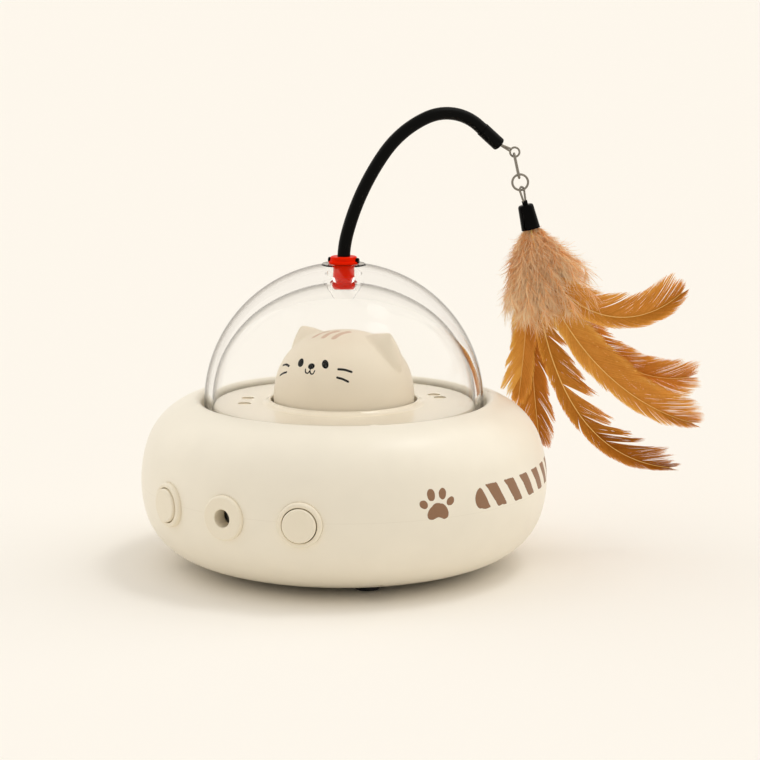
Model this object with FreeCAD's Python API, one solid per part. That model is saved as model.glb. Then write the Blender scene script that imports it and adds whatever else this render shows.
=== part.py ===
import FreeCAD, Part
import os
from math import acos, atan2, cos, degrees, hypot, pi, radians, sin, sqrt, tan

# Automatic cat toy: a flattened round body, a turntable with a clear dome and a feather wand,
# a cat's head that turns under the dome, and a laser that sweeps behind a hole in the front.
# Millimetres. The origin is on the floor under the middle of the body, +Z is up, -Y is the front.

V = FreeCAD.Vector
UP = V(0, 0, 1)
ORIGIN = V(0, 0, 0)

# ---- body shell ----
BODY_R = 75.0
CROWN_R = 40.8
CROWN_H = 32.2
CROWN_SIDE_R = 46.7
CROWN_SIDE_TURN = 17.1
CROWN_TOP_TURN = 19.0
BELLY_R = 41.4
BELLY_DEPTH = 29.9
BELLY_SIDE_R = 40.5
BELLY_SIDE_TURN = 15.5
BELLY_TOP_TURN = 22.4
SHELL_WALL = 2.4
FOOT_PROUD = 1.6
SEAM_Z = FOOT_PROUD + BELLY_DEPTH
TONGUE_H = 2.0
TONGUE_ROOT = 3.0
TONGUE_WALL = 1.2
SLIP = 0.1
LIP_ROUND = 2.4
LIP_WALL = 2.0
FLOOR_TOP = FOOT_PROUD + SHELL_WALL

# ---- running gaps ----
GAP = 0.3
SHAFT_GAP = 0.05

# ---- turntable, deck and dome ----
LEDGE_Z = 50.0
LEDGE_T = 1.8
LEDGE_IN_R = 45.6
LEDGE_UNDER = 1.35
SKIRT_R = LEDGE_IN_R - GAP
SKIRT_WALL = 2.3
TABLE_Z = LEDGE_Z + LEDGE_T + GAP
TABLE_T = 1.9
TABLE_TOP = TABLE_Z + TABLE_T
DOME_R = 51.5
DOME_WALL = 3.0
DOME_CROWN_WALL = 6.8
DOME_SIDE_EASE = 6.2
DOME_SIDE_TURN = 30.0
DOME_IN_R = DOME_R - DOME_WALL
LIP_GAP = 1.0
LIP_R = DOME_R + LIP_GAP
DECK_TOP = 60.0
DECK_T = 2.0
DECK_R = DOME_IN_R - GAP
SPIGOT_WALL = 2.2
COLLAR_H = 1.5
COLLAR_R = 26.9
COLLAR_WALL = 1.0
COLLAR_FLARE = 2.6
COLLAR_SKIRT = 2.5
DECK_SCREW_R = 36.7
DECK_SCREW_PAIRS = ((210.0, 8.6), (52.0, 4.8))
DECK_BOSS_R = 3.2
DECK_EDGE = 0.4
DECK_SEAT_Z = DECK_TOP - 1.2
DECK_HEAD_H = 0.8
RIB_T = 1.2
RIB_DEPTH = 2.0
BORE_WALL = 1.6
RIB_COUNT = 8

# ---- gear train ----
MODULE = 1.0
RING_TEETH = 80
PINION_TEETH = 16
HEAD_TEETH = 48
PRESSURE_ANGLE = radians(20)
ADDENDUM = 1.0
DEDENDUM = 1.25
BACKLASH = 0.16
GEAR_T = 4.5
CHASSIS_Z = 34.0
CHASSIS_T = 2.0
CHASSIS_R = 45.0
CHASSIS_RIB = 2.0
CHASSIS_SLOT_HALF = 9.0
CHASSIS_SLOT_R = CHASSIS_R - 11.0
GEAR_Z = CHASSIS_Z + CHASSIS_T + 2.0
GEAR_RIM = 2.2
GEAR_DISH = 1.4
GEAR_HOLE_R = 3.6
HUB_WALL = 3.0
HUB_RISE = 2.0
PINION_Y = MODULE * (RING_TEETH - PINION_TEETH) / 2
KEEPER_R = LEDGE_IN_R + 2 * LEDGE_UNDER
KEEPER_T = 1.7
RING_SCREW_R = 36.5
RING_BOSS_R = 2.6
RING_BOSS_H = 4.2
RING_SCREWS = 4
RING_HEAD_R = 2.0
RING_SCREW_L = 7.2

# ---- cat's head ----
HEAD_R = 25.9
HEAD_H = 25.8
HEAD_SIDE_R = 35.0
HEAD_SIDE_TURN = 13.7
HEAD_TOP_TURN = 20.0
HEAD_WALL = 1.8
HEAD_FOOT_Z = 51.5
HEAD_BASE_T = 2.0
EAR_X = 19.6
EAR_Y = 0.8
EAR_TIP_H = 25.9
EAR_HALF_W = 11.8
EAR_SQUASH = 0.6
EAR_TIP_R = 2.5
EAR_ROOT_H = 12.8
EAR_SPLAY = 29.0
EAR_BULGE = 0.8
EAR_REAR_SIZE = 0.82
EAR_REAR_BACK = 2.6
EAR_REAR_OUT = -0.4
HEAD_BOSS_R = 2.6
HEAD_SCREW_R = 18.5
HEAD_SCREWS = 3
HEAD_SCREW_L = 7.0
HEAD_HOLE_L = 6.0
SPINDLE_R = 3.0
SPINDLE_FOOT_Z = 27.0
SPINDLE_CLIP_T = 0.8
SPINDLE_GROOVE = 0.4
CLIP_MOUTH = 1.2
BUSH_R = 6.0
BUSH_DROP = 5.0

# ---- front controls ----
CONTROL_DROP = 0.8
CONTROL_Z = SEAM_Z - CONTROL_DROP
BUTTON_SPREAD = 22.2
BEZEL_R = 8.05
BEZEL_PROUD = 1.25
BEZEL_NECK_R = 7.45
BEZEL_FLANGE_R = 8.6
BEZEL_FLANGE_T = 1.4
BEZEL_SEAT = 0.8
BEZEL_SOFT = 1.0
BEZEL_MOUTH = 0.35
CAP_R = 6.0
CAP_GAP = 0.3
CAP_PROUD = 2.2
CAP_FLANGE_R = 7.0
CAP_FLANGE_T = 1.0
CAP_WALL = 1.4
CAP_EDGE = 0.6
PLUNGER_R = 1.6
PLUNGER_L = 2.4
BUTTON_TRAVEL = 1.0
SWITCH_ACT_R = 1.7
SWITCH_ACT_L = 1.0
SWITCH_SIDE = 6.0
SWITCH_T = 2.5
BOARD_T = 1.0
BOARD_HALF_W = 6.0
BOARD_HALF_H = 7.0
RAIL_T = 1.4
RAIL_HALF_W = 1.6
RAIL_GRIP = 5.0
RAIL_FOOT_Z = 8.0
APERTURE_R = 3.2

# ---- laser ----
LASER_IN = 9.0
LASER_S = BODY_R - LASER_IN
LASER_R = 3.0
LASER_L = 14.0
LASER_NOSE = 2.6
LASER_TILT = 6.0
CRADLE_W = 9.0
CRADLE_L = 7.0
SWEEP_CAN_R = 4.0
SWEEP_CAN_H = 8.0
SWEEP_SHAFT_R = 0.8
BRACKET_T = 1.6
BRACKET_TOP = 38.4
BRACKET_LEG_X = 6.8
BRACKET_LEG_W = 1.8
BRACKET_LEG_L = 8.0
BRACKET_FOOT_L = 5.6
BRACKET_S = LASER_S - 7.0
BRACKET_NOSE_L = 8.6
BRACKET_SCREW_L = 6.0
BRACKET_FOOT_Z = 22.0
SWEEP_HUB_R = 2.6
SWEEP_HUB_RISE = 1.2
HUB_FLOOR = 0.6
SWEEP_BOSS_R = 1.8
SWEEP_FLAT = 3.4
SWEEP_SHAFT_UP = 5.0
LENS_T = 0.6
LASER_MOUTH = 1.2
LASER_RIM = 0.8
LASER_TAIL_L = 1.5
CRADLE_SLIT = 0.5
CRADLE_NOSE_L = 1.4

# ---- power and drive ----
CELL_R = 7.15
CELL_L = 49.5
CELL_NUB_R = 2.7
CELL_NUB_L = 1.0
CELL_COUNT = 3
CELL_PITCH = 14.7
BAY_SPRING_L = 4.6
BAY_WALL = 1.5
BAY_HEADROOM = 0.4
SPRING_FOOT_R = 3.4
SPRING_END_R = 2.0
CONTACT_HALF = 5.0
CONTACT_T = 0.4
DOOR_T = 1.5
DOOR_RIM = 1.9
DOOR_CORNER = 4.0
DOOR_TAB = 4.4
DOOR_TAB_HALF = 5.0
DOOR_GAP = 0.2
DOOR_HEAD_H = 0.7
DOOR_BOSS_R = 3.0
DOOR_BOSS_H = 6.0
GRIP_RIBS = 5
GRIP_PITCH = 4.0
GRIP_GROOVE = 1.2
GRIP_HALF_L = 9.0
GRIP_DEPTH = 0.5
MOTOR_W = 12.0
MOTOR_D = 10.0
GEARBOX_H = 9.0
CAN_H = 15.0
CAN_END_R = 2.5
CAN_END_H = 1.2
MOTOR_SHAFT_R = 1.5
MOTOR_BORE_L = 6.0
CLAMP_T = 1.4
CLAMP_HALF_W = 3.5
CLAMP_SCREW_L = 3.2
POST_X = CHASSIS_R - 7.0
POST_Y = 14.0
POST_R = 3.4
POST_HOLE_L = 8.0
POST_SCREW_L = 8.0
SCREW_R = 1.0
SCREW_HEAD_R = 2.2
SCREW_HEAD_H = 1.2
SHELL_SCREW_IN = 17.0
SHELL_SCREW_R = BODY_R - SHELL_SCREW_IN
SHELL_BOSS_R = 3.5
SHELL_SCREW_L = 24.0
SHELL_HEAD_R = 2.8
SHELL_HEAD_Z = 14.0
FOOT_R = 4.5
FOOT_AT = BELLY_R + 1.6
FOOT_SUNK = 1.0
FOOT_EDGE = 0.5
FOOT_WALL = 1.2
FOOT_ROOF = 2.0
PCB_Z = 24.0
PCB_T = 1.6
PCB_HALF_X = 24.0
PCB_HALF_Y = 17.0
PCB_POST_IN = 3.0
PCB_POST_R = 2.2
PCB_HOLE_R = 1.2

# ---- wand ----
SOCKET_R = 6.0
SOCKET_FLOOR = 3.0
SOCKET_DEPTH = 9.4
SOCKET_RIM_R = 8.2
SOCKET_RIM_DROP = 0.2
SOCKET_RIM_T = 1.0
SOCKET_RIM_Z = DECK_TOP + DOME_R - SOCKET_RIM_DROP
SOCKET_NOSE_R = 4.2
SOCKET_NOSE_H = 2.6
PLUG_R = 4.2
PLUG_GAP = 0.06
PLUG_L = 9.0
PLUG_CHAMFER = 0.8
PLUG_REST = 0.05
COLLAR_RIM_R = 5.5
COLLAR_RIM_T = 0.7
COLLAR_TOP_R = 4.85
COLLAR_TOP_H = 1.9
COLLAR_TOP_EDGE = 0.5
PIN_R = 1.0
PIN_IN = 3.4
PIN_OUT = 5.9
PIN_RISE = 1.15
PIN_EDGE = 0.35
PIN_ANGLE = 15.0
TUBE_R = 2.35
TUBE_SUNK = 6.0
WAND_ANGLE = 53.0
WAND_BENDS = ((36.0, 15.8), (87.0, 21.5), (38.5, 31.0), (20.0, 63.0))
WAND_STRAIGHT = 10.2
BEND_RISE = 1.0
SLEEVE_R = 2.6
SLEEVE_L = 9.0
SLEEVE_PAST = 0.8
SLEEVE_EDGE = 0.6

# ---- chain and lure ----
FAN_ANGLE = 33.0
EYE_ALONG = 6.2
EYE_FALL = 2.9
EYE_R = 1.75
EYE_WIRE = 0.38
LINK_WIRE = 0.5
LINK_BOW = 1.35
LINK_L = 9.2
LINK_TILT = 12.5
RING_R = 2.93
RING_WIRE = 0.43
RING_TILT = 13.0
LOOP_WIRE = 0.4
LOOP_BOW = 1.45
LOOP_TURN = 35.0
LOOP_FOOT = 0.55
LOOP_SUNK = 1.0
LURE_TILT = 13.5
CAP_MOUTH = 15.0
FERRULE_L = 9.4
FERRULE_R = 3.55
FERRULE_TOP_R = 2.95
FERRULE_WALL = 0.6
FERRULE_ROOF = 2.2
FERRULE_NECK_R = 1.05
FERRULE_NECK_L = 1.5
FERRULE_ROUND = 1.0
FLUFF_L = 36.0
FLUFF_R = 15.0
FLUFF_NECK_R = 2.6
QUILL_R = 0.3
QUILL_IN = 2.4
VANE_T = 0.5
VANE_START = 0.3
VANE_SPOTS = 13
FEATHER_CLEAR = 9.0
BACK_EDGE = -5.0


# ---------------------------------------------------------------- small helpers

def cylinder(radius, bottom, top, x=0.0, y=0.0):
    return Part.makeCylinder(radius, top - bottom, V(x, y, bottom), UP)


def tube(outer, inner, bottom, top, x=0.0, y=0.0):
    return cylinder(outer, bottom, top, x, y).cut(cylinder(inner, bottom - 1, top + 1, x, y))


def block(x0, x1, y0, y1, z0, z1):
    return Part.makeBox(x1 - x0, y1 - y0, z1 - z0, V(x0, y0, z0))


def polar(radius, angle, z=0.0):
    a = radians(angle)
    return V(radius * cos(a), radius * sin(a), z)


def turned(shape, angle):
    copy = shape.copy()
    copy.rotate(ORIGIN, UP, angle)
    return copy


def moved(shape, offset):
    copy = shape.copy()
    copy.translate(offset)
    return copy


def join(shapes):
    whole = shapes[0]
    for shape in shapes[1:]:
        whole = whole.fuse(shape)
    return whole.removeSplitter()


def spun(outline, axis=UP):
    """Solid of revolution of a closed outline (points or edges) in the XZ plane."""
    if isinstance(outline[0], Part.Edge):
        wire = Part.Wire(outline)
    else:
        points = [V(r, 0, z) for r, z in outline]
        wire = Part.makePolygon(points + points[:1])
    return Part.Face(wire).revolve(ORIGIN, axis, 360)


def line(a, b):
    return Part.makeLine(a, b)


def screw(head_r, shank_r, length, at, head_up=True):
    """Pan-head screw: the head's underside is at the given point."""
    way = UP if head_up else -UP
    head = Part.makeCylinder(head_r, SCREW_HEAD_H, at, way)
    top = at + way * SCREW_HEAD_H
    crown = [e for e in head.Edges if (e.CenterOfMass - top).Length < 0.1 * SCREW_HEAD_H]
    head = head.makeFillet(0.4 * SCREW_HEAD_H, crown)
    shank = Part.makeCylinder(shank_r, length, at, -way)
    return head.fuse(shank)


def facing(shape, angle, height):
    """Stands a piece that was built along +X, about the X axis, on the body's side."""
    copy = shape.copy()
    copy.rotate(ORIGIN, UP, angle)
    copy.translate(V(0, 0, height))
    return copy


def round_x(outline):
    """Solid of revolution about the X axis: the outline holds (distance out, radius) pairs."""
    points = [V(s, 0, r) for s, r in outline]
    wire = Part.makePolygon(points + points[:1])
    return Part.Face(wire).revolve(ORIGIN, V(1, 0, 0), 360)


def export(name, shape):
    shape.exportStep(os.path.join("parts", name + ".step"))


def group(solids):
    return Part.makeCompound(solids)


# ---------------------------------------------------------------- body shell

def arc_run(start, lean, bends, hand=1):
    """Tangent arcs in the XZ plane that turn from +Z towards +X (or -X): edges, end and lean."""
    edges = []
    spot = start
    for radius, turn in bends:
        centre = spot + V(hand * radius * cos(lean), 0, -radius * sin(lean))
        leans = [lean + radians(turn) * t for t in (0.5, 1)]
        mid, end = [centre + V(-hand * radius * cos(a), 0, radius * sin(a)) for a in leans]
        edges.append(Part.Arc(spot, mid, end).toShape())
        spot = end
        lean = leans[1]
    return edges, spot, lean


def flank_arcs(full_r, flat_r, height, side_r, side_turn, top_turn):
    """Side, shoulder and top arcs that leave the equator upright and end level, height above it.

    With s and c the sine and cosine of the heading where two arcs meet, the rise is
    side_r s1 + shoulder_r (s2 - s1) + top_r (1 - s2), and the way inward is the same in 1 - c.
    """
    a1 = radians(side_turn)
    a2 = radians(90 - top_turn)
    rise = height - side_r * sin(a1)
    way = full_r - flat_r - side_r * (1 - cos(a1))
    m11 = sin(a2) - sin(a1)
    m12 = 1 - sin(a2)
    m21 = cos(a1) - cos(a2)
    m22 = cos(a2)
    det = m11 * m22 - m12 * m21
    shoulder_r = (rise * m22 - m12 * way) / det
    top_r = (m11 * way - m21 * rise) / det
    return ((side_r, side_turn), (shoulder_r, 90 - side_turn - top_turn), (top_r, top_turn))


def flank_solid(full_r, flat_r, height, side, inset, base_z, foot_z):
    """Round solid under the arcs, pulled in by the inset, on a short cylinder down to foot_z."""
    side_r, side_turn, top_turn = side
    bends = flank_arcs(full_r - inset, flat_r, height - inset, side_r - inset, side_turn, top_turn)
    rim = V(full_r - inset, 0, base_z)
    foot = V(full_r - inset, 0, foot_z)
    centre = V(0, 0, foot_z)
    edges, end = arc_run(rim, 0.0, bends, -1)[:2]
    pole = V(0, 0, end.z)
    if foot_z < base_z:
        edges = [line(foot, rim)] + edges
    if flat_r > 0:
        edges.append(line(end, pole))
    else:
        pole = end
    edges += [line(pole, centre), line(centre, foot)]
    return spun(edges)


def shell_blank(inset, lower):
    """Solid half of the body, pulled in by the inset all round."""
    if lower:
        side = (BELLY_SIDE_R, BELLY_SIDE_TURN, BELLY_TOP_TURN)
        half = flank_solid(BODY_R, BELLY_R, BELLY_DEPTH, side, inset, SEAM_Z, SEAM_Z)
        return half.mirror(V(0, 0, SEAM_Z), UP)
    side = (CROWN_SIDE_R, CROWN_SIDE_TURN, CROWN_TOP_TURN)
    return flank_solid(BODY_R, CROWN_R, CROWN_H, side, inset, SEAM_Z, SEAM_Z)


def shell_boss_places():
    return [polar(SHELL_SCREW_R, 45 + 90 * k) for k in range(4)]


def control_angles():
    return [-90 - BUTTON_SPREAD, -90, -90 + BUTTON_SPREAD]


def control_cuts():
    """Round seats for the three bezels, cut half in each housing."""
    seat = BODY_R - BEZEL_SEAT
    start = board_face() + SWITCH_T
    waist = bezel_rear() + BEZEL_FLANGE_T + SLIP
    clear = BODY_R + 2 * CAP_PROUD
    cut = round_x([(start, 0), (start, BEZEL_FLANGE_R + GAP), (waist, BEZEL_FLANGE_R + GAP),
                   (waist, BEZEL_NECK_R + SLIP), (seat, BEZEL_NECK_R + SLIP),
                   (seat, BEZEL_R + SLIP), (clear, BEZEL_R + SLIP), (clear, 0)])
    return [facing(cut, angle, CONTROL_Z) for angle in control_angles()]


def upper_housing():
    outer = shell_blank(0, False)
    inner = shell_blank(SHELL_WALL, False)
    shell = outer.cut(inner)
    top = SEAM_Z + CROWN_H
    wall = tube(LIP_R + LIP_WALL, LIP_R, LEDGE_Z, top).common(outer)
    shell = shell.fuse(wall)
    shell = shell.cut(cylinder(LIP_R, LEDGE_Z, top + 1)).removeSplitter()
    inside = [e for e in shell.Edges if e.Length > 6 * LIP_R and abs(e.BoundBox.XMax - LIP_R) < 0.01]
    lip = [e for e in inside if e.BoundBox.ZMin > DECK_TOP]
    shell = shell.makeFillet(LIP_ROUND, lip)
    ledge = tube(LIP_R + LIP_WALL, LEDGE_IN_R, LEDGE_Z, LEDGE_Z + LEDGE_T)
    bosses = [cylinder(SHELL_BOSS_R, SEAM_Z, top, p.x, p.y).common(outer) for p in shell_boss_places()]
    housing = join([shell, ledge] + bosses)
    depth = SHELL_HEAD_Z + SHELL_SCREW_L
    for p in shell_boss_places():
        housing = housing.cut(cylinder(SCREW_R, SEAM_Z - 1, depth + 1, p.x, p.y))
    for cut in control_cuts():
        housing = housing.cut(cut)
    return housing


def bay_half_x():
    return (CELL_L + CELL_NUB_L + BAY_SPRING_L + 2 * CONTACT_T) / 2


def bay_half_y():
    return CELL_PITCH * (CELL_COUNT - 1) / 2 + CELL_R + GAP


def bay_top():
    return FOOT_PROUD + DOOR_T + 2 * CELL_R + 2 * GAP + BAY_HEADROOM


def rounded_plate(half_x, half_y, bottom, top, corner):
    plate = block(-half_x, half_x, -half_y, half_y, bottom, top)
    upright = [e for e in plate.Edges if abs(e.tangentAt(e.FirstParameter).z) > 0.9]
    return plate.makeFillet(corner, upright)


def door_blank(gap, bottom, top):
    half_x = bay_half_x() + DOOR_RIM - gap
    half_y = bay_half_y() + DOOR_RIM - gap
    plate = rounded_plate(half_x, half_y, bottom, top, DOOR_CORNER)
    half_tab = DOOR_TAB_HALF - gap
    tab = block(0, half_x + DOOR_TAB, -half_tab, half_tab, bottom, top)
    return plate.fuse(tab).removeSplitter()


def door_screw_x():
    return bay_half_x() + DOOR_RIM + DOOR_TAB - SCREW_HEAD_R - SLIP - GAP


def foot_places():
    return [polar(FOOT_AT, 45 + 90 * k) for k in range(4)]


def bracket_posts():
    x = BRACKET_LEG_X + BRACKET_LEG_W + BRACKET_FOOT_L / 2
    return [V(side * x, -BRACKET_S, 0) for side in (-1, 1)]


def chassis_posts():
    return [V(x, y, 0) for x in (-POST_X, POST_X) for y in (-POST_Y, POST_Y)]


def board_posts():
    x = PCB_HALF_X - PCB_POST_IN
    y = PCB_HALF_Y - PCB_POST_IN
    return [V(sx * x, sy * y, 0) for sx in (-1, 1) for sy in (-1, 1)]


def board_face():
    """Distance of the switch boards' front faces from the body's axis."""
    plunger_end = BODY_R - BEZEL_SEAT - SHELL_WALL - BEZEL_FLANGE_T - CAP_GAP - CAP_FLANGE_T - PLUNGER_L
    return plunger_end - BUTTON_TRAVEL - SLIP - SWITCH_ACT_L - SWITCH_T


def board_rails():
    face = board_face()
    rear = face - BOARD_T
    low = CONTROL_Z - BOARD_HALF_H
    rails = [block(rear - RAIL_T, face + RAIL_T, -BOARD_HALF_W, BOARD_HALF_W, RAIL_FOOT_Z, low)]
    for side in (-1, 1):
        mid = side * BOARD_HALF_W
        rails.append(block(rear - RAIL_T, face + RAIL_T, mid - RAIL_HALF_W, mid + RAIL_HALF_W,
                           RAIL_FOOT_Z, low + RAIL_GRIP))
    half = BOARD_HALF_W + SLIP
    return join(rails).cut(block(rear - SLIP / 2, face + SLIP / 2, -half, half, low, CONTROL_Z))


def lower_housing():
    outer = shell_blank(0, True)
    inner = shell_blank(SHELL_WALL, True)
    shell = outer.cut(inner)
    tongue_r = BODY_R - SHELL_WALL - SLIP
    tongue_in = tongue_r - TONGUE_WALL
    tongue = tube(tongue_r, tongue_in, SEAM_Z - TONGUE_ROOT, SEAM_Z + TONGUE_H)
    root = tube(BODY_R - SHELL_WALL + GAP, tongue_in, SEAM_Z - TONGUE_ROOT, SEAM_Z - 1)
    bay_x = bay_half_x()
    bay_y = bay_half_y()
    bay_roof = bay_top() + BAY_WALL
    bay = block(-bay_x - BAY_WALL, bay_x + BAY_WALL, -bay_y - BAY_WALL, bay_y + BAY_WALL,
                FLOOR_TOP - 1, bay_roof)
    pieces = [shell, tongue.fuse(root), bay]
    for p in shell_boss_places():
        pieces.append(cylinder(SHELL_BOSS_R, FOOT_PROUD, SEAM_Z, p.x, p.y).common(outer))
    for p in chassis_posts():
        pieces.append(cylinder(POST_R, FLOOR_TOP - 1, CHASSIS_Z, p.x, p.y))
    for p in bracket_posts():
        pieces.append(cylinder(POST_R, FLOOR_TOP, BRACKET_FOOT_Z, p.x, p.y).common(outer))
    for p in board_posts():
        pieces.append(cylinder(PCB_POST_R, bay_roof - 0.5, PCB_Z, p.x, p.y))
    rails = board_rails()
    for angle in (control_angles()[0], control_angles()[2]):
        pieces.append(turned(rails, angle).common(outer))
    boss_top = FLOOR_TOP + DOOR_BOSS_H
    pieces.append(cylinder(DOOR_BOSS_R, FLOOR_TOP - 1, boss_top, door_screw_x(), 0))
    for p in foot_places():
        roof = FOOT_PROUD + FOOT_SUNK + FOOT_ROOF
        pieces.append(cylinder(FOOT_R + FOOT_WALL, FLOOR_TOP - 1, roof, p.x, p.y))
    housing = join(pieces)
    housing = housing.cut(block(-bay_x, bay_x, -bay_y, bay_y, 0, bay_top()))
    housing = housing.cut(door_blank(0, 0, FOOT_PROUD + DOOR_T))
    housing = housing.cut(cylinder(SCREW_R, 0, boss_top - 1, door_screw_x(), 0))
    for p in foot_places():
        housing = housing.cut(cylinder(FOOT_R, 0, FOOT_PROUD + FOOT_SUNK, p.x, p.y))
    for p in shell_boss_places():
        housing = housing.cut(cylinder(SCREW_R, 0, SEAM_Z + 1, p.x, p.y))
        housing = housing.cut(cylinder(SHELL_HEAD_R + 2 * SLIP, 0, SHELL_HEAD_Z, p.x, p.y))
    for p in chassis_posts():
        housing = housing.cut(cylinder(SCREW_R, CHASSIS_Z - POST_HOLE_L, CHASSIS_Z + 1, p.x, p.y))
    for p in bracket_posts():
        housing = housing.cut(cylinder(SCREW_R, BRACKET_FOOT_Z - POST_HOLE_L, BRACKET_FOOT_Z + 1, p.x, p.y))
    for cut in control_cuts():
        housing = housing.cut(cut)
    return housing


def housing_screws():
    return group([screw(SHELL_HEAD_R, SCREW_R, SHELL_SCREW_L, V(p.x, p.y, SHELL_HEAD_Z), False)
                  for p in shell_boss_places()])


def rubber_feet():
    feet = []
    for p in foot_places():
        foot = cylinder(FOOT_R, 0, FOOT_PROUD + FOOT_SUNK, p.x, p.y)
        rim = [e for e in foot.Edges if e.BoundBox.ZMax < 0.01 and e.Length > FOOT_R]
        feet.append(foot.makeFillet(FOOT_EDGE, rim))
    return group(feet)


# ---------------------------------------------------------------- power

def battery_door():
    door = door_blank(DOOR_GAP, FOOT_PROUD, FOOT_PROUD + DOOR_T)
    half = GRIP_GROOVE / 2
    for k in range(GRIP_RIBS):
        x = GRIP_PITCH * (k - (GRIP_RIBS - 1) / 2)
        door = door.cut(block(x - half, x + half, -GRIP_HALF_L, GRIP_HALF_L, 0, FOOT_PROUD + GRIP_DEPTH))
    door = door.cut(cylinder(SCREW_R, 0, FLOOR_TOP, door_screw_x(), 0))
    return door.cut(cylinder(SCREW_HEAD_R + SLIP, 0, FOOT_PROUD + DOOR_HEAD_H, door_screw_x(), 0))


def door_screw():
    head = cylinder(SCREW_HEAD_R, FOOT_PROUD, FOOT_PROUD + DOOR_HEAD_H, door_screw_x(), 0)
    return head.fuse(cylinder(SCREW_R, FOOT_PROUD, FLOOR_TOP + DOOR_BOSS_H - 2, door_screw_x(), 0))


def cell_rows():
    return [CELL_PITCH * (k - (CELL_COUNT - 1) / 2) for k in range(CELL_COUNT)]


def battery_cells():
    cells = []
    middle = FOOT_PROUD + DOOR_T + GAP + CELL_R
    for k, y in enumerate(cell_rows()):
        start = -bay_half_x() + CONTACT_T + BAY_SPRING_L
        can = Part.makeCylinder(CELL_R, CELL_L, V(start, y, middle), V(1, 0, 0))
        nub = Part.makeCylinder(CELL_NUB_R, CELL_NUB_L, V(start + CELL_L, y, middle), V(1, 0, 0))
        cell = can.fuse(nub)
        if k % 2:
            cell.rotate(V(0, y, middle), UP, 180)
        cells.append(cell)
    return group(cells)


def battery_contacts():
    pieces = []
    middle = FOOT_PROUD + DOOR_T + GAP + CELL_R
    back = bay_half_x()
    face = back - CONTACT_T
    half = CONTACT_HALF
    for k, y in enumerate(cell_rows()):
        for side in (-1, 1):
            plate = block(face, back, y - half, y + half, middle - half, middle + half)
            if (side < 0) == (k % 2 == 0):
                foot = V(face, y, middle)
                coil = Part.makeCone(SPRING_FOOT_R, SPRING_END_R, BAY_SPRING_L, foot, V(-1, 0, 0))
                plate = plate.fuse(coil)
            if side < 0:
                plate.rotate(V(0, y, middle), UP, 180)
            pieces.append(plate)
    return group(pieces)


# ---------------------------------------------------------------- chassis and drive

def chassis():
    low = CHASSIS_Z - BUSH_DROP
    high = GEAR_Z - GAP
    plate = cylinder(CHASSIS_R, CHASSIS_Z, CHASSIS_Z + CHASSIS_T)
    pieces = [plate, cylinder(BUSH_R, low, high)]
    rib = block(BUSH_R - 1, CHASSIS_R - 1, -RIB_T / 2, RIB_T / 2, CHASSIS_Z - CHASSIS_RIB, CHASSIS_Z)
    for angle in (0, 180, 240, 300):
        pieces.append(turned(rib, angle))
    whole = join(pieces)
    whole = whole.cut(cylinder(SPINDLE_R + SHAFT_GAP, low - 1, high + 1))
    whole = whole.cut(cylinder(MOTOR_SHAFT_R + 1.0, low - 1, high + 1, 0, PINION_Y))
    for p in chassis_posts() + clamp_screw_places():
        whole = whole.cut(cylinder(SCREW_R, low, high, p.x, p.y))
    return whole.cut(block(-CHASSIS_SLOT_HALF, CHASSIS_SLOT_HALF, -CHASSIS_R - 1, -CHASSIS_SLOT_R, low, high))


def chassis_screws():
    top = V(0, 0, CHASSIS_Z + CHASSIS_T)
    return group([screw(SCREW_HEAD_R, SCREW_R, POST_SCREW_L, p + top) for p in chassis_posts()])


def gear_motor():
    top = CHASSIS_Z
    low = top - GEARBOX_H
    front = PINION_Y - MOTOR_D / 2
    back = PINION_Y + MOTOR_D / 2
    box = block(-MOTOR_W / 2, MOTOR_W / 2, front, back, low, top)
    can = cylinder(MOTOR_W / 2, low - CAN_H, low, 0, PINION_Y)
    flats = block(-MOTOR_W, MOTOR_W, front, back, low - CAN_H, top)
    end = cylinder(CAN_END_R, low - CAN_H - CAN_END_H, low - CAN_H, 0, PINION_Y)
    motor = join([box, can.common(flats), end])
    return motor.cut(cylinder(MOTOR_SHAFT_R + SHAFT_GAP, top - MOTOR_BORE_L, top + 1, 0, PINION_Y))


def motor_shaft():
    low = CHASSIS_Z - MOTOR_BORE_L + SLIP
    return cylinder(MOTOR_SHAFT_R, low, GEAR_Z + GEAR_T - GAP, 0, PINION_Y)


def clamp_screw_places():
    x = MOTOR_W / 2 + SLIP + CLAMP_T + SCREW_HEAD_R + SLIP
    return [V(-x, PINION_Y, 0), V(x, PINION_Y, 0)]


def motor_clamp():
    """Two angles that hold the gearbox between them, each screwed up into the chassis."""
    inner = MOTOR_W / 2 + SLIP
    hole = clamp_screw_places()[1]
    front = PINION_Y - CLAMP_HALF_W
    back = PINION_Y + CLAMP_HALF_W
    leg = block(inner, inner + CLAMP_T, front, back, CHASSIS_Z - GEARBOX_H + 1, CHASSIS_Z)
    ear = block(inner, hole.x + SCREW_HEAD_R, front, back, CHASSIS_Z - CLAMP_T, CHASSIS_Z)
    angle = leg.fuse(ear).removeSplitter()
    angle = angle.cut(cylinder(SCREW_R, CHASSIS_Z - CLAMP_T - 1, CHASSIS_Z + 1, hole.x, hole.y))
    return group([angle, angle.mirror(ORIGIN, V(1, 0, 0))])


def clamp_screws():
    low = V(0, 0, CHASSIS_Z - CLAMP_T)
    return group([screw(SCREW_HEAD_R, SCREW_R, CLAMP_SCREW_L, p + low, False) for p in clamp_screw_places()])


def involute_turn(base_r, r):
    """Angle of the involute of the base circle at a radius, from where it leaves that circle."""
    if r <= base_r:
        return 0.0
    a = acos(base_r / r)
    return tan(a) - a


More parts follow.
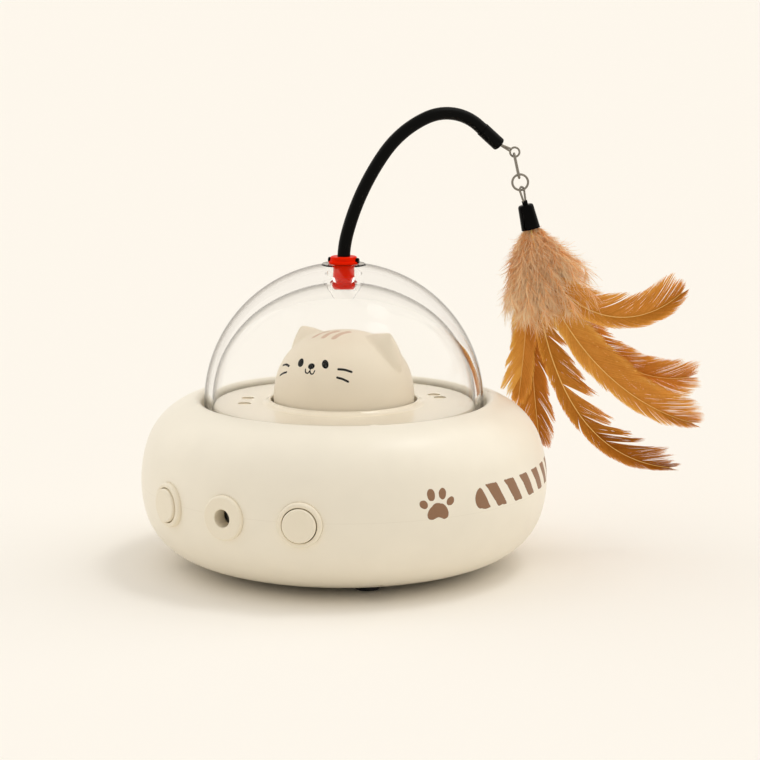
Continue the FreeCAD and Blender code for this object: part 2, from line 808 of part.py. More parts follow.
def gear_outline(teeth, root_r, tip_r, thinner, steps):
    """Closed outline of a gear with a tooth centred on angle 0; its flanks are involutes."""
    pitch_r = MODULE * teeth / 2
    base_r = pitch_r * cos(PRESSURE_ANGLE)
    half = pi / (2 * teeth) - thinner / (2 * pitch_r)
    radii = [root_r + (tip_r - root_r) * k / steps for k in range(steps + 1)]
    points = []
    for tooth in range(teeth):
        middle = 2 * pi * tooth / teeth
        spread = [half + involute_turn(base_r, pitch_r) - involute_turn(base_r, r) for r in radii]
        for r, a in zip(radii, spread):
            points.append(V(r * cos(middle - a), r * sin(middle - a), 0))
        for r, a in zip(reversed(radii), reversed(spread)):
            points.append(V(r * cos(middle + a), r * sin(middle + a), 0))
    return Part.Face(Part.makePolygon(points + points[:1]))


def drive_pinion():
    pitch_r = MODULE * PINION_TEETH / 2
    face = gear_outline(PINION_TEETH, pitch_r - DEDENDUM, pitch_r + ADDENDUM, BACKLASH, 3)
    gear = face.extrude(V(0, 0, GEAR_T))
    gear.translate(V(0, PINION_Y, GEAR_Z))
    return gear.cut(cylinder(MOTOR_SHAFT_R, GEAR_Z - 1, GEAR_Z + GEAR_T + 1, 0, PINION_Y))


def head_gear():
    pitch_r = MODULE * HEAD_TEETH / 2
    face = gear_outline(HEAD_TEETH, pitch_r - DEDENDUM, pitch_r + ADDENDUM, BACKLASH, 1)
    gear = turned(face.extrude(V(0, 0, GEAR_T)), 180 / HEAD_TEETH)
    gear.translate(V(0, 0, GEAR_Z))
    top = GEAR_Z + GEAR_T
    hub_r = SPINDLE_R + HUB_WALL
    dish_r = pitch_r - DEDENDUM - GEAR_RIM
    gear = gear.cut(tube(dish_r, hub_r, top - GEAR_DISH, top + 1))
    gear = gear.cut(tube(dish_r, hub_r, GEAR_Z - 1, GEAR_Z + GEAR_DISH))
    for k in range(6):
        hole = polar((dish_r + hub_r) / 2, 60 * k)
        gear = gear.cut(cylinder(GEAR_HOLE_R, GEAR_Z - 1, top + 1, hole.x, hole.y))
    hub = cylinder(hub_r, GEAR_Z, top + HUB_RISE)
    return gear.fuse(hub).removeSplitter().cut(cylinder(SPINDLE_R, GEAR_Z - 1, top + HUB_RISE + 1))


# ---------------------------------------------------------------- turntable, deck and dome

def ring_screw_places():
    return [polar(RING_SCREW_R, 45 + 360 * k / RING_SCREWS) for k in range(RING_SCREWS)]


def ring_gear():
    """Internal gear with the flange that holds the turntable down under the housing's ledge."""
    pitch_r = MODULE * RING_TEETH / 2
    top = LEDGE_Z - GAP
    wall = tube(SKIRT_R, SKIRT_R - SKIRT_WALL, GEAR_Z, top)
    flange = tube(KEEPER_R, SKIRT_R - SKIRT_WALL, top - KEEPER_T, top)
    rim = cylinder(SKIRT_R, 0, GEAR_T)
    spaces = gear_outline(RING_TEETH, pitch_r - ADDENDUM, pitch_r + DEDENDUM, -BACKLASH, 1)
    rim = rim.cut(moved(spaces.extrude(V(0, 0, GEAR_T + 2)), V(0, 0, -1)))
    rim.translate(V(0, 0, GEAR_Z))
    pieces = [wall, flange, rim]
    low = top - RING_BOSS_H
    lug = block(RING_SCREW_R, SKIRT_R - SKIRT_WALL + 0.5, -RING_BOSS_R, RING_BOSS_R, low, top)
    for k, p in enumerate(ring_screw_places()):
        pieces.append(cylinder(RING_BOSS_R, low, top, p.x, p.y))
        pieces.append(turned(lug, 45 + 360 * k / RING_SCREWS))
    gear = join(pieces)
    for p in ring_screw_places():
        gear = gear.cut(cylinder(SCREW_R, low - 1, top + 1, p.x, p.y))
    return gear


def ring_screws():
    low = V(0, 0, LEDGE_Z - GAP - RING_BOSS_H)
    return group([screw(RING_HEAD_R, SCREW_R, RING_SCREW_L, p + low, False) for p in ring_screw_places()])


def deck_screw_places():
    places = []
    for middle, half in DECK_SCREW_PAIRS:
        places += [polar(DECK_SCREW_R, middle - half), polar(DECK_SCREW_R, middle + half)]
    return places


def turntable():
    bore = COLLAR_R + SLIP
    inner = SKIRT_R - SKIRT_WALL
    rib_low = TABLE_Z - RIB_DEPTH
    disc = tube(DOME_R + SLIP, bore, TABLE_Z, TABLE_TOP)
    spigot = tube(DECK_R + SLIP, DECK_R + SLIP - SPIGOT_WALL, TABLE_TOP, DECK_TOP - DECK_T)
    skirt = tube(SKIRT_R, inner, LEDGE_Z - GAP, TABLE_Z)
    hub = tube(bore + BORE_WALL, bore, rib_low - 0.4, TABLE_Z)
    pieces = [disc, spigot, skirt, hub]
    rib = block(bore + 0.5, inner + 0.5, -RIB_T / 2, RIB_T / 2, rib_low, TABLE_Z)
    for k in range(RIB_COUNT):
        pieces.append(turned(rib, 360 * (k + 0.5) / RIB_COUNT))
    for p in deck_screw_places():
        pieces.append(cylinder(DECK_BOSS_R, TABLE_TOP, DECK_TOP - DECK_T, p.x, p.y))
    for p in ring_screw_places():
        pieces.append(cylinder(RING_BOSS_R, LEDGE_Z - GAP, TABLE_Z, p.x, p.y))
    table = join(pieces)
    for p in deck_screw_places():
        table = table.cut(cylinder(SCREW_R, TABLE_Z + 0.5, DECK_TOP, p.x, p.y))
    for p in ring_screw_places():
        table = table.cut(cylinder(SCREW_R, LEDGE_Z - 2, TABLE_Z + 1.2, p.x, p.y))
    return table


def deck():
    top = DECK_TOP + COLLAR_H
    low = DECK_TOP - DECK_T
    crest = COLLAR_R + COLLAR_WALL
    foot = crest + COLLAR_FLARE
    edge = DECK_EDGE
    spigot_r = COLLAR_R + BORE_WALL
    start = V(COLLAR_R, 0, low - COLLAR_SKIRT)
    rim = V(crest, 0, top - edge)
    inside = V(COLLAR_R, 0, top - edge)
    corners = [start, V(spigot_r, 0, low - COLLAR_SKIRT), V(spigot_r, 0, low), V(DECK_R, 0, low),
               V(DECK_R, 0, DECK_TOP - edge), V(DECK_R - edge, 0, DECK_TOP), V(foot, 0, DECK_TOP)]
    edges = [line(a, b) for a, b in zip(corners, corners[1:])]
    waist = V(crest + 0.28 * COLLAR_FLARE, 0, DECK_TOP + 0.36 * COLLAR_H)
    edges.append(Part.Arc(corners[-1], waist, rim).toShape())
    edges.append(Part.Arc(rim, V(COLLAR_R + 0.5 * COLLAR_WALL, 0, top), inside).toShape())
    edges.append(line(inside, start))
    plate = spun(edges)
    for p in deck_screw_places():
        plate = plate.cut(cylinder(SCREW_R, low - 1, DECK_TOP + 1, p.x, p.y))
        plate = plate.cut(cylinder(SCREW_HEAD_R + 2 * SLIP, DECK_SEAT_Z, DECK_TOP + 1, p.x, p.y))
    return plate


def deck_screws():
    screws = []
    for p in deck_screw_places():
        head = cylinder(SCREW_HEAD_R, DECK_SEAT_Z, DECK_SEAT_Z + DECK_HEAD_H, p.x, p.y)
        screws.append(head.fuse(cylinder(SCREW_R, TABLE_Z + 2 * GAP, DECK_SEAT_Z, p.x, p.y)))
    return group(screws)


def socket_floor_z():
    return SOCKET_RIM_Z - SOCKET_DEPTH


def dome():
    """Clear cover, thicker towards its crown, with the wand's socket moulded in the top."""
    turns = (DOME_SIDE_TURN, DOME_SIDE_TURN)
    outer = flank_solid(DOME_R, 0, DOME_R, (DOME_R,) + turns, 0, DECK_TOP, TABLE_TOP)
    side = (DOME_IN_R - DOME_SIDE_EASE,) + turns
    inner = flank_solid(DOME_IN_R, 0, DOME_R - DOME_CROWN_WALL, side, 0, DECK_TOP, TABLE_TOP - 1)
    shell = outer.cut(inner)
    bottom = socket_floor_z() - SOCKET_FLOOR
    nose = bottom + SOCKET_NOSE_H
    flange = SOCKET_RIM_Z - SOCKET_RIM_T
    cup = spun([(0, bottom), (SOCKET_NOSE_R - 0.6, bottom), (SOCKET_NOSE_R, bottom + 0.6),
                (SOCKET_NOSE_R + 0.2, nose - 1.4), (SOCKET_R, nose + 0.8), (SOCKET_R, flange),
                (SOCKET_RIM_R, flange), (SOCKET_RIM_R, SOCKET_RIM_Z), (0, SOCKET_RIM_Z)])
    shell = shell.fuse(cup)
    crest = cylinder(2 * SOCKET_RIM_R, SOCKET_RIM_Z, SOCKET_RIM_Z + SOCKET_RIM_T)
    shell = shell.cut(crest).removeSplitter()
    return shell.cut(cylinder(PLUG_R + PLUG_GAP, socket_floor_z(), SOCKET_RIM_Z + 1))


# ---------------------------------------------------------------- cat's head

def head_blank(inset, foot_z=HEAD_FOOT_Z):
    side = (HEAD_SIDE_R, HEAD_SIDE_TURN, HEAD_TOP_TURN)
    return flank_solid(HEAD_R, 0, HEAD_H, side, inset, DECK_TOP + COLLAR_H, foot_z)


def ear_lobe(side, size, back, out):
    """Ogive turned about its own axis, flattened front to back, splayed and set on the head."""
    half = EAR_HALF_W * size
    height = EAR_ROOT_H * size
    round_r = EAR_TIP_R * size
    edge = V(half, 0, 0)
    tip = V(0, 0, height)
    low = height - round_r
    brow = V(round_r * cos(radians(32)), 0, low + round_r * sin(radians(32)))
    nose = V(round_r * cos(radians(62)), 0, low + round_r * sin(radians(62)))
    bulge = edge + (brow - edge) * 0.5 + V(EAR_BULGE, 0, EAR_BULGE)
    solid = spun([line(ORIGIN, edge), Part.Arc(edge, bulge, brow).toShape(),
                  Part.Arc(brow, nose, tip).toShape(), line(tip, ORIGIN)])
    squash = FreeCAD.Matrix()
    squash.scale(1, EAR_SQUASH, 1)
    solid = solid.transformGeometry(squash)
    solid.rotate(ORIGIN, V(0, 1, 0), EAR_SPLAY * side)
    root_x = EAR_X + out - height * sin(radians(EAR_SPLAY))
    root_z = DECK_TOP + COLLAR_H + EAR_TIP_H - EAR_ROOT_H * cos(radians(EAR_SPLAY))
    solid.translate(V(side * root_x, EAR_Y + back, root_z))
    return solid


def ears():
    """Each ear is a front lobe and a smaller one close behind it, with a crease between them."""
    lobes = []
    for side in (-1, 1):
        lobes.append(ear_lobe(side, 1.0, 0.0, 0.0))
        lobes.append(ear_lobe(side, EAR_REAR_SIZE, EAR_REAR_BACK, EAR_REAR_OUT))
    return lobes


def head_screw_places():
    return [polar(HEAD_SCREW_R, 90 + 360 * k / HEAD_SCREWS) for k in range(HEAD_SCREWS)]


def head_shell():
    foot = HEAD_FOOT_Z + HEAD_BASE_T
    shell = join([head_blank(0)] + ears()).cut(head_blank(HEAD_WALL, HEAD_FOOT_Z - 1))
    bosses = []
    for p in head_screw_places():
        boss = cylinder(HEAD_BOSS_R, foot, DECK_TOP + HEAD_H, p.x, p.y).common(head_blank(HEAD_WALL / 4))
        bosses.append(boss.cut(cylinder(SCREW_R, foot - 1, foot + HEAD_HOLE_L, p.x, p.y)))
    return join([shell] + bosses)


def head_base():
    low = GEAR_Z + GEAR_T + HUB_RISE
    top = HEAD_FOOT_Z + HEAD_BASE_T
    plate = cylinder(HEAD_R - HEAD_WALL - SLIP, HEAD_FOOT_Z, top)
    pieces = [plate, cylinder(SPINDLE_R + HUB_WALL, low, top)]
    reach = HEAD_R - HEAD_WALL - 3
    rib = block(SPINDLE_R, reach, -RIB_T / 2, RIB_T / 2, HEAD_FOOT_Z - RIB_DEPTH, HEAD_FOOT_Z)
    for k in range(6):
        pieces.append(turned(rib, 60 * k))
    base = join(pieces).cut(cylinder(SPINDLE_R, low - 1, top - 2 * GAP))
    for p in head_screw_places():
        base = base.cut(cylinder(SCREW_HEAD_R + 2 * SLIP, low, HEAD_FOOT_Z, p.x, p.y))
        base = base.cut(cylinder(SCREW_R, low, top + 1, p.x, p.y))
    return base


def head_screws():
    low = V(0, 0, HEAD_FOOT_Z)
    return group([screw(SCREW_HEAD_R, SCREW_R, HEAD_SCREW_L, p + low, False) for p in head_screw_places()])


def clip_z():
    return CHASSIS_Z - BUSH_DROP - GAP - SPINDLE_CLIP_T


def head_spindle():
    shaft = cylinder(SPINDLE_R, SPINDLE_FOOT_Z, HEAD_FOOT_Z + HEAD_BASE_T - 2 * GAP)
    groove = tube(SPINDLE_R + 1, SPINDLE_R - SPINDLE_GROOVE, clip_z(), clip_z() + SPINDLE_CLIP_T)
    return shaft.cut(groove)


def spindle_clip():
    """Open retaining ring in the spindle's groove."""
    outer = SPINDLE_R + 2.0
    ring = tube(outer, SPINDLE_R - SPINDLE_GROOVE, clip_z(), clip_z() + SPINDLE_CLIP_T)
    return ring.cut(block(0, outer + 1, -CLIP_MOUTH, CLIP_MOUTH, clip_z() - 1, clip_z() + 2))


# ---------------------------------------------------------------- front controls

def bezel_rear():
    return BODY_R - BEZEL_SEAT - SHELL_WALL - BEZEL_FLANGE_T


def bezel(hole_r):
    """Ring clamped in the seam: flange inside, neck through the wall, rounded rim outside."""
    seat = BODY_R - BEZEL_SEAT
    rear = bezel_rear()
    front = BODY_R + BEZEL_PROUD
    waist = rear + BEZEL_FLANGE_T
    corners = [V(rear, 0, hole_r), V(rear, 0, BEZEL_FLANGE_R), V(waist, 0, BEZEL_FLANGE_R),
               V(waist, 0, BEZEL_NECK_R), V(seat, 0, BEZEL_NECK_R), V(seat, 0, BEZEL_R),
               V(front - BEZEL_SOFT, 0, BEZEL_R)]
    edges = [line(a, b) for a, b in zip(corners, corners[1:])]
    k = BEZEL_SOFT * (1 - cos(pi / 4))
    shoulder = V(front, 0, BEZEL_R - BEZEL_SOFT)
    edges.append(Part.Arc(corners[-1], V(front - k, 0, BEZEL_R - k), shoulder).toShape())
    mouth = V(front, 0, hole_r + BEZEL_MOUTH)
    edges.append(line(shoulder, mouth))
    k = BEZEL_MOUTH * (1 - cos(pi / 4))
    throat = V(front - BEZEL_MOUTH, 0, hole_r)
    edges.append(Part.Arc(mouth, V(front - k, 0, hole_r + k), throat).toShape())
    edges.append(line(throat, corners[0]))
    return Part.Face(Part.Wire(edges)).revolve(ORIGIN, V(1, 0, 0), 360)


def button():
    """Cap with a soft front edge, a retaining flange and a plunger; hollow at the back."""
    front = BODY_R + CAP_PROUD
    flange_front = bezel_rear() - CAP_GAP
    back = flange_front - CAP_FLANGE_T
    k = CAP_EDGE * (1 - cos(pi / 4))
    end = back - PLUNGER_L
    inside = front - CAP_WALL
    outline = [V(end, 0, 0), V(end, 0, PLUNGER_R), V(inside, 0, PLUNGER_R), V(inside, 0, CAP_R - CAP_WALL),
               V(back, 0, CAP_R - CAP_WALL), V(back, 0, CAP_FLANGE_R), V(flange_front, 0, CAP_FLANGE_R),
               V(flange_front, 0, CAP_R), V(front - CAP_EDGE, 0, CAP_R)]
    edges = [line(a, b) for a, b in zip(outline, outline[1:])]
    brow = V(front, 0, CAP_R - CAP_EDGE)
    edges.append(Part.Arc(outline[-1], V(front - k, 0, CAP_R - k), brow).toShape())
    edges.append(line(brow, V(front, 0, 0)))
    edges.append(line(V(front, 0, 0), outline[0]))
    return Part.Face(Part.Wire(edges)).revolve(ORIGIN, V(1, 0, 0), 360)


def switch_board():
    face = board_face()
    return block(face - BOARD_T, face, -BOARD_HALF_W, BOARD_HALF_W, -BOARD_HALF_H, BOARD_HALF_H)


def tact_switch():
    face = board_face()
    half = SWITCH_SIDE / 2
    body = block(face, face + SWITCH_T, -half, half, -half, half)
    return body.fuse(Part.makeCylinder(SWITCH_ACT_R, SWITCH_ACT_L, V(face + SWITCH_T, 0, 0), V(1, 0, 0)))


# ---------------------------------------------------------------- laser

def laser_placed(shape):
    """Tips a piece that was built along +X, nose at LASER_S, down and turns it to the front."""
    copy = shape.copy()
    copy.rotate(V(BODY_R, 0, 0), V(0, 1, 0), LASER_TILT)
    return facing(copy, -90, CONTROL_Z)


def laser_module():
    front = LASER_S + LASER_NOSE
    back = front - LASER_L
    ahead = V(1, 0, 0)
    barrel = Part.makeCylinder(LASER_R, LASER_L, V(back, 0, 0), ahead)
    bore = Part.makeCylinder(LASER_R - LASER_RIM, LASER_MOUTH, V(front - LASER_MOUTH, 0, 0), ahead)
    tail = Part.makeCylinder(LASER_R - LASER_MOUTH, LASER_TAIL_L, V(back - LASER_TAIL_L, 0, 0), ahead)
    return laser_placed(join([barrel.cut(bore), tail]))


def laser_lens():
    start = V(LASER_S + LASER_NOSE - LASER_MOUTH, 0, 0)
    return laser_placed(Part.makeCylinder(LASER_R - LASER_RIM, LENS_T, start, V(1, 0, 0)))


def sweep_pivot():
    return V(0, -LASER_S, 0)


def laser_cradle():
    """Split block round the module, with a hub for the motor's shaft on top."""
    half = CRADLE_W / 2
    rear = LASER_S - CRADLE_L
    front = LASER_S + CRADLE_NOSE_L
    body = block(rear, front, -half, half, -half + 0.6, half - 0.4)
    bore = Part.makeCylinder(LASER_R, front - rear + 2, V(rear - 1, 0, 0), V(1, 0, 0))
    body = body.cut(bore).cut(block(rear - 1, front + 1, -CRADLE_SLIT, CRADLE_SLIT, -half - 1, 0))
    body = laser_placed(body)
    low = hub_low_z()
    top = BRACKET_TOP - BRACKET_T - GAP
    p = sweep_pivot()
    body = body.fuse(cylinder(SWEEP_HUB_R, low, top, p.x, p.y)).removeSplitter()
    return body.cut(cylinder(SWEEP_SHAFT_R, low + HUB_FLOOR, top + 1, p.x, p.y))


def hub_low_z():
    return CONTROL_Z + LASER_R + SWEEP_HUB_RISE


def sweep_shaft():
    p = sweep_pivot()
    return cylinder(SWEEP_SHAFT_R, hub_low_z() + HUB_FLOOR, BRACKET_TOP + SWEEP_SHAFT_UP, p.x, p.y)


def sweep_motor():
    p = sweep_pivot()
    top = BRACKET_TOP + SWEEP_CAN_H
    low = BRACKET_TOP - BRACKET_T
    can = cylinder(SWEEP_CAN_R, BRACKET_TOP, top, p.x, p.y)
    flats = block(-SWEEP_FLAT, SWEEP_FLAT, p.y - SWEEP_CAN_R, p.y + SWEEP_CAN_R, BRACKET_TOP, top)
    boss = cylinder(SWEEP_BOSS_R, low, BRACKET_TOP, p.x, p.y)
    motor = can.common(flats).fuse(boss).removeSplitter()
    bore_top = BRACKET_TOP + SWEEP_SHAFT_UP + 2 * SLIP
    return motor.cut(cylinder(SWEEP_SHAFT_R + SHAFT_GAP, low - 1, bore_top, p.x, p.y))


def sweep_bracket():
    """Bridge over the laser: two legs with screwed feet, and the motor on its deck."""
    inner = BRACKET_LEG_X
    outer = BRACKET_LEG_X + BRACKET_LEG_W
    front = -BRACKET_S - BRACKET_LEG_L / 2
    back = -BRACKET_S + BRACKET_LEG_L / 2
    shelf = BRACKET_FOOT_Z + BRACKET_T
    deck_z = BRACKET_TOP - BRACKET_T
    top = block(-outer, outer, -BRACKET_S - BRACKET_NOSE_L, back, deck_z, BRACKET_TOP)
    leg = block(inner, outer, front, back, BRACKET_FOOT_Z, BRACKET_TOP)
    leg = leg.fuse(block(inner, outer + BRACKET_FOOT_L, front, back, BRACKET_FOOT_Z, shelf))
    whole = join([top, leg, leg.mirror(ORIGIN, V(1, 0, 0))])
    p = sweep_pivot()
    whole = whole.cut(cylinder(SWEEP_BOSS_R, deck_z - 1, BRACKET_TOP + 1, p.x, p.y))
    for q in bracket_posts():
        whole = whole.cut(cylinder(SCREW_R, BRACKET_FOOT_Z - 1, shelf + 1, q.x, q.y))
    return whole


def bracket_screws():
    shelf = V(0, 0, BRACKET_FOOT_Z + BRACKET_T)
    return group([screw(SCREW_HEAD_R, SCREW_R, BRACKET_SCREW_L, p + shelf) for p in bracket_posts()])


# ---------------------------------------------------------------- electronics

def main_board():
    board = block(-PCB_HALF_X, PCB_HALF_X, -PCB_HALF_Y, PCB_HALF_Y, PCB_Z, PCB_Z + PCB_T)
    for p in board_posts():
        board = board.cut(cylinder(PCB_HOLE_R, PCB_Z - 1, PCB_Z + PCB_T + 1, p.x, p.y))
    return board


def board_parts():
    """Controller, driver, two capacitors and the wire headers."""
    top = PCB_Z + PCB_T
    parts = [block(-17, -9, -4, 4, top, top + 1.2), block(9, 14, 2, 7, top, top + 1.2)]
    parts += [cylinder(2.5, top, top + 5, x, -10) for x in (10, 17)]
    parts += [block(-6 + 12 * k, 1 + 12 * k, 11.5, 15.5, top, top + 4) for k in (0, 1)]
    parts.append(block(-18, -8, -15, -11, top, top + 4))
    return group(parts)


# ---------------------------------------------------------------- wand

def plug_foot_z():
    return SOCKET_RIM_Z - PLUG_L


def collar_z():
    return SOCKET_RIM_Z + PLUG_REST


def pin_z():
    return collar_z() + PIN_RISE


def pin_shapes():
    pins = []
    for side in (0, 180):
        pin = Part.makeCylinder(PIN_R, PIN_OUT - PIN_IN, V(PIN_IN, 0, 0), V(1, 0, 0))
        end = [e for e in pin.Edges if e.BoundBox.XMin > PIN_OUT - 0.01]
        pin = pin.makeFillet(PIN_EDGE, end)
        pins.append(facing(pin, PIN_ANGLE + side, pin_z()))
    return pins


def plug_pins():
    return group(pin_shapes())


def wand_plug():
    """Body that drops in the dome's socket, and a collar with a thin rim that stops it."""
    foot = plug_foot_z()
    rim = collar_z()
    shelf = rim + COLLAR_RIM_T
    top = shelf + COLLAR_TOP_H
    k = COLLAR_TOP_EDGE * (1 - cos(pi / 4))
    points = [V(0, 0, foot), V(PLUG_R - PLUG_CHAMFER, 0, foot), V(PLUG_R, 0, foot + PLUG_CHAMFER),
              V(PLUG_R, 0, rim), V(COLLAR_RIM_R, 0, rim), V(COLLAR_RIM_R, 0, shelf),
              V(COLLAR_TOP_R, 0, shelf + 0.2), V(COLLAR_TOP_R, 0, top - COLLAR_TOP_EDGE)]
    brow = V(COLLAR_TOP_R - COLLAR_TOP_EDGE, 0, top)
    edges = [line(a, b) for a, b in zip(points, points[1:])]
    edges.append(Part.Arc(points[-1], V(COLLAR_TOP_R - k, 0, top - k), brow).toShape())
    edges += [line(brow, V(0, 0, top)), line(V(0, 0, top), points[0])]
    plug = spun(edges).cut(cylinder(TUBE_R, tube_foot_z(), top + 1))
    for pin in pin_shapes():
        plug = plug.cut(pin)
    return plug


def tube_foot_z():
    return SOCKET_RIM_Z + BEND_RISE - TUBE_SUNK


def wand_path():
    """Edges of the wand's centre line in its own plane, its end, and its heading there."""
    start = V(0, 0, tube_foot_z())
    bend_z = V(0, 0, SOCKET_RIM_Z + BEND_RISE)
    arcs, spot, lean = arc_run(bend_z, 0.0, WAND_BENDS)
    way = V(sin(lean), 0, cos(lean))
    end = spot + way * WAND_STRAIGHT
    return [line(start, bend_z)] + arcs + [line(spot, end)], end, way


def wand_tube():
    edges = wand_path()[0]
    profile = Part.Wire([Part.Circle(V(0, 0, tube_foot_z()), UP, TUBE_R).toShape()])
    return turned(Part.Wire(edges).makePipeShell([profile], True, False), WAND_ANGLE)


def sleeve_end():
    end, way = wand_path()[1:]
    return end + way * SLEEVE_PAST


def end_sleeve():
    """Short ferrule over the wand's end, with its own end wall."""
    way = wand_path()[2]
    base = sleeve_end() - way * SLEEVE_L
    outer = Part.makeCylinder(SLEEVE_R, SLEEVE_L, base, way)
    rims = [e for e in outer.Edges if (e.CenterOfMass - sleeve_end()).Length < 0.1]
    outer = outer.makeFillet(SLEEVE_EDGE, rims)
    inner = Part.makeCylinder(TUBE_R, SLEEVE_L - SLEEVE_PAST, base, way)
    hole = Part.makeCylinder(2.2 * EYE_WIRE, 4, sleeve_end() - way * 2, way)
    return turned(outer.cut(inner).cut(hole), WAND_ANGLE)


# ---------------------------------------------------------------- chain and lure

def eye_centre():
    end = sleeve_end()
    return V(end.x + EYE_ALONG, 0, end.z - EYE_FALL)


def fan(shape):
    """Places a piece drawn with x along the fan, y behind it and z up, from the eye's middle."""
    copy = shape.copy()
    copy.rotate(ORIGIN, UP, FAN_ANGLE)
    spot = eye_centre()
    copy.translate(polar(spot.x, WAND_ANGLE, spot.z))
    return copy


def fan_point(p):
    """The same placing for a point."""
    spot = eye_centre()
    a = radians(FAN_ANGLE)
    base = polar(spot.x, WAND_ANGLE, spot.z)
    return base + V(p.x * cos(a) - p.y * sin(a), p.x * sin(a) + p.y * cos(a), p.z)


def stadium(bow, length, wire, top, way, across):
    """Round wire bent to a long closed link: top is the middle of its upper bow's wire."""
    upper = top + way * bow
    lower = top + way * (length - bow)
    spots = [upper + across * bow, lower + across * bow, lower - across * bow, upper - across * bow]
    profile = Part.Wire([Part.Circle(spots[0], way, wire).toShape()])
    foot = lower + way * bow
    path = Part.Wire([line(spots[0], spots[1]), Part.Arc(spots[1], foot, spots[2]).toShape(),
                      line(spots[2], spots[3]), Part.Arc(spots[3], top, spots[0]).toShape()])
    return path.makePipeShell([profile], True, False)


def wand_eye():
    """Wire loop at the end of the wand, on two crossing stems that reach into the sleeve."""
    loop = Part.makeTorus(EYE_R, EYE_WIRE, ORIGIN, V(0, 1, 0))
    spot = eye_centre()
    way = wand_path()[2]
    a = radians(WAND_ANGLE)
    inside = sleeve_end() - way * (SLEEVE_PAST - 0.05)
    start = V(inside.x * cos(a), inside.x * sin(a), inside.z)
    centre = polar(spot.x, WAND_ANGLE, spot.z)
    to_eye = centre - start
    to_eye.normalize()
    side = to_eye.cross(UP)
    side.normalize()
    lift = side.cross(to_eye)
    stems = []
    for s in (-1, 1):
        foot = start + side * (s * 0.38)
        head = centre - to_eye * (EYE_R - 0.15) + lift * (s * 0.5) - side * (s * 0.1)
        run = head - foot
        stems.append(Part.makeCylinder(EYE_WIRE, run.Length, foot, run))
    return join([fan(loop)] + stems)


def hanging(tilt):
    """Direction down along a hanging piece that leans this far out along the fan."""
    a = radians(tilt)
    return V(sin(a), 0, -cos(a))


def link_way():
    return hanging(LINK_TILT)


def eye_pivot():
    return V(0, 0, -EYE_R)


def chain_link():
    way = link_way()
    top = eye_pivot() - way * (EYE_WIRE + GAP + LINK_WIRE)
    return fan(stadium(LINK_BOW, LINK_L, LINK_WIRE, top, way, V(0, 1, 0)))


def link_foot():
    """Middle of the wire in the link's lower bow, which the ring turns about."""
    return eye_pivot() + link_way() * (LINK_L - (EYE_WIRE + GAP + LINK_WIRE))


def ring_centre():
    """The ring's upper wire rests a gap above the link's lower bow."""
    top = link_foot() - link_way() * (LINK_WIRE + GAP + RING_WIRE)
    return top + hanging(RING_TILT) * RING_R


def chain_ring():
    return fan(Part.makeTorus(RING_R, RING_WIRE, ring_centre(), V(0, 1, 0)))


def lure_pivot():
    return ring_centre() + hanging(RING_TILT) * RING_R


def lure_way():
    return hanging(LURE_TILT)


def cap_mouth():
    return lure_pivot() + lure_way() * CAP_MOUTH


def ferrule_loop():
    """Open wire bail over the ring, with both ends in the ferrule's neck."""
    way = lure_way()
    rise = RING_WIRE + GAP + LOOP_WIRE
    top = lure_pivot() - way * rise
    turn = FreeCAD.Rotation(way, LOOP_TURN)
    across = turn.multVec(V(0, 1, 0))
    a = top + way * LOOP_BOW
    drop = way * (CAP_MOUTH - FERRULE_L - FERRULE_NECK_L + rise - LOOP_BOW + LOOP_SUNK)
    squeeze = across * (LOOP_BOW - LOOP_FOOT)
    left = a - across * LOOP_BOW
    right = a + across * LOOP_BOW
    start = left + drop + squeeze
    path = Part.Wire([line(start, left), Part.Arc(left, top, right).toShape(),
                      line(right, right + drop - squeeze)])
    profile = Part.Wire([Part.Circle(start, left - start, LOOP_WIRE).toShape()])
    return fan(path.makePipeShell([profile], True, True))


def ferrule_cap():
    """Bell-shaped cap that grips the quills; its length runs down the lure's axis."""
    brow = V(FERRULE_TOP_R, 0, FERRULE_L - FERRULE_ROUND)
    crest = V(FERRULE_TOP_R - FERRULE_ROUND, 0, FERRULE_L)
    end = FERRULE_L + FERRULE_NECK_L
    k = FERRULE_ROUND * (1 - cos(pi / 4))
    edges = [line(ORIGIN, V(FERRULE_R, 0, 0)), line(V(FERRULE_R, 0, 0), brow),
             Part.Arc(brow, V(FERRULE_TOP_R - k, 0, FERRULE_L - k), crest).toShape(),
             line(crest, V(FERRULE_NECK_R, 0, FERRULE_L)),
             line(V(FERRULE_NECK_R, 0, FERRULE_L), V(FERRULE_NECK_R, 0, end)),
             line(V(FERRULE_NECK_R, 0, end), V(0, 0, end)), line(V(0, 0, end), ORIGIN)]
    cap = spun(edges)
    mouth = FERRULE_R - FERRULE_WALL
    roof = FERRULE_L - FERRULE_ROOF
    bore = spun([(0, -1), (mouth, -1), (mouth, 0), (FERRULE_TOP_R - FERRULE_WALL, roof), (0, roof)])
    cap = cap.cut(bore)
    cap.rotate(ORIGIN, V(0, 1, 0), -LURE_TILT)
    cap.translate(cap_mouth())
    return fan(cap).cut(ferrule_loop())


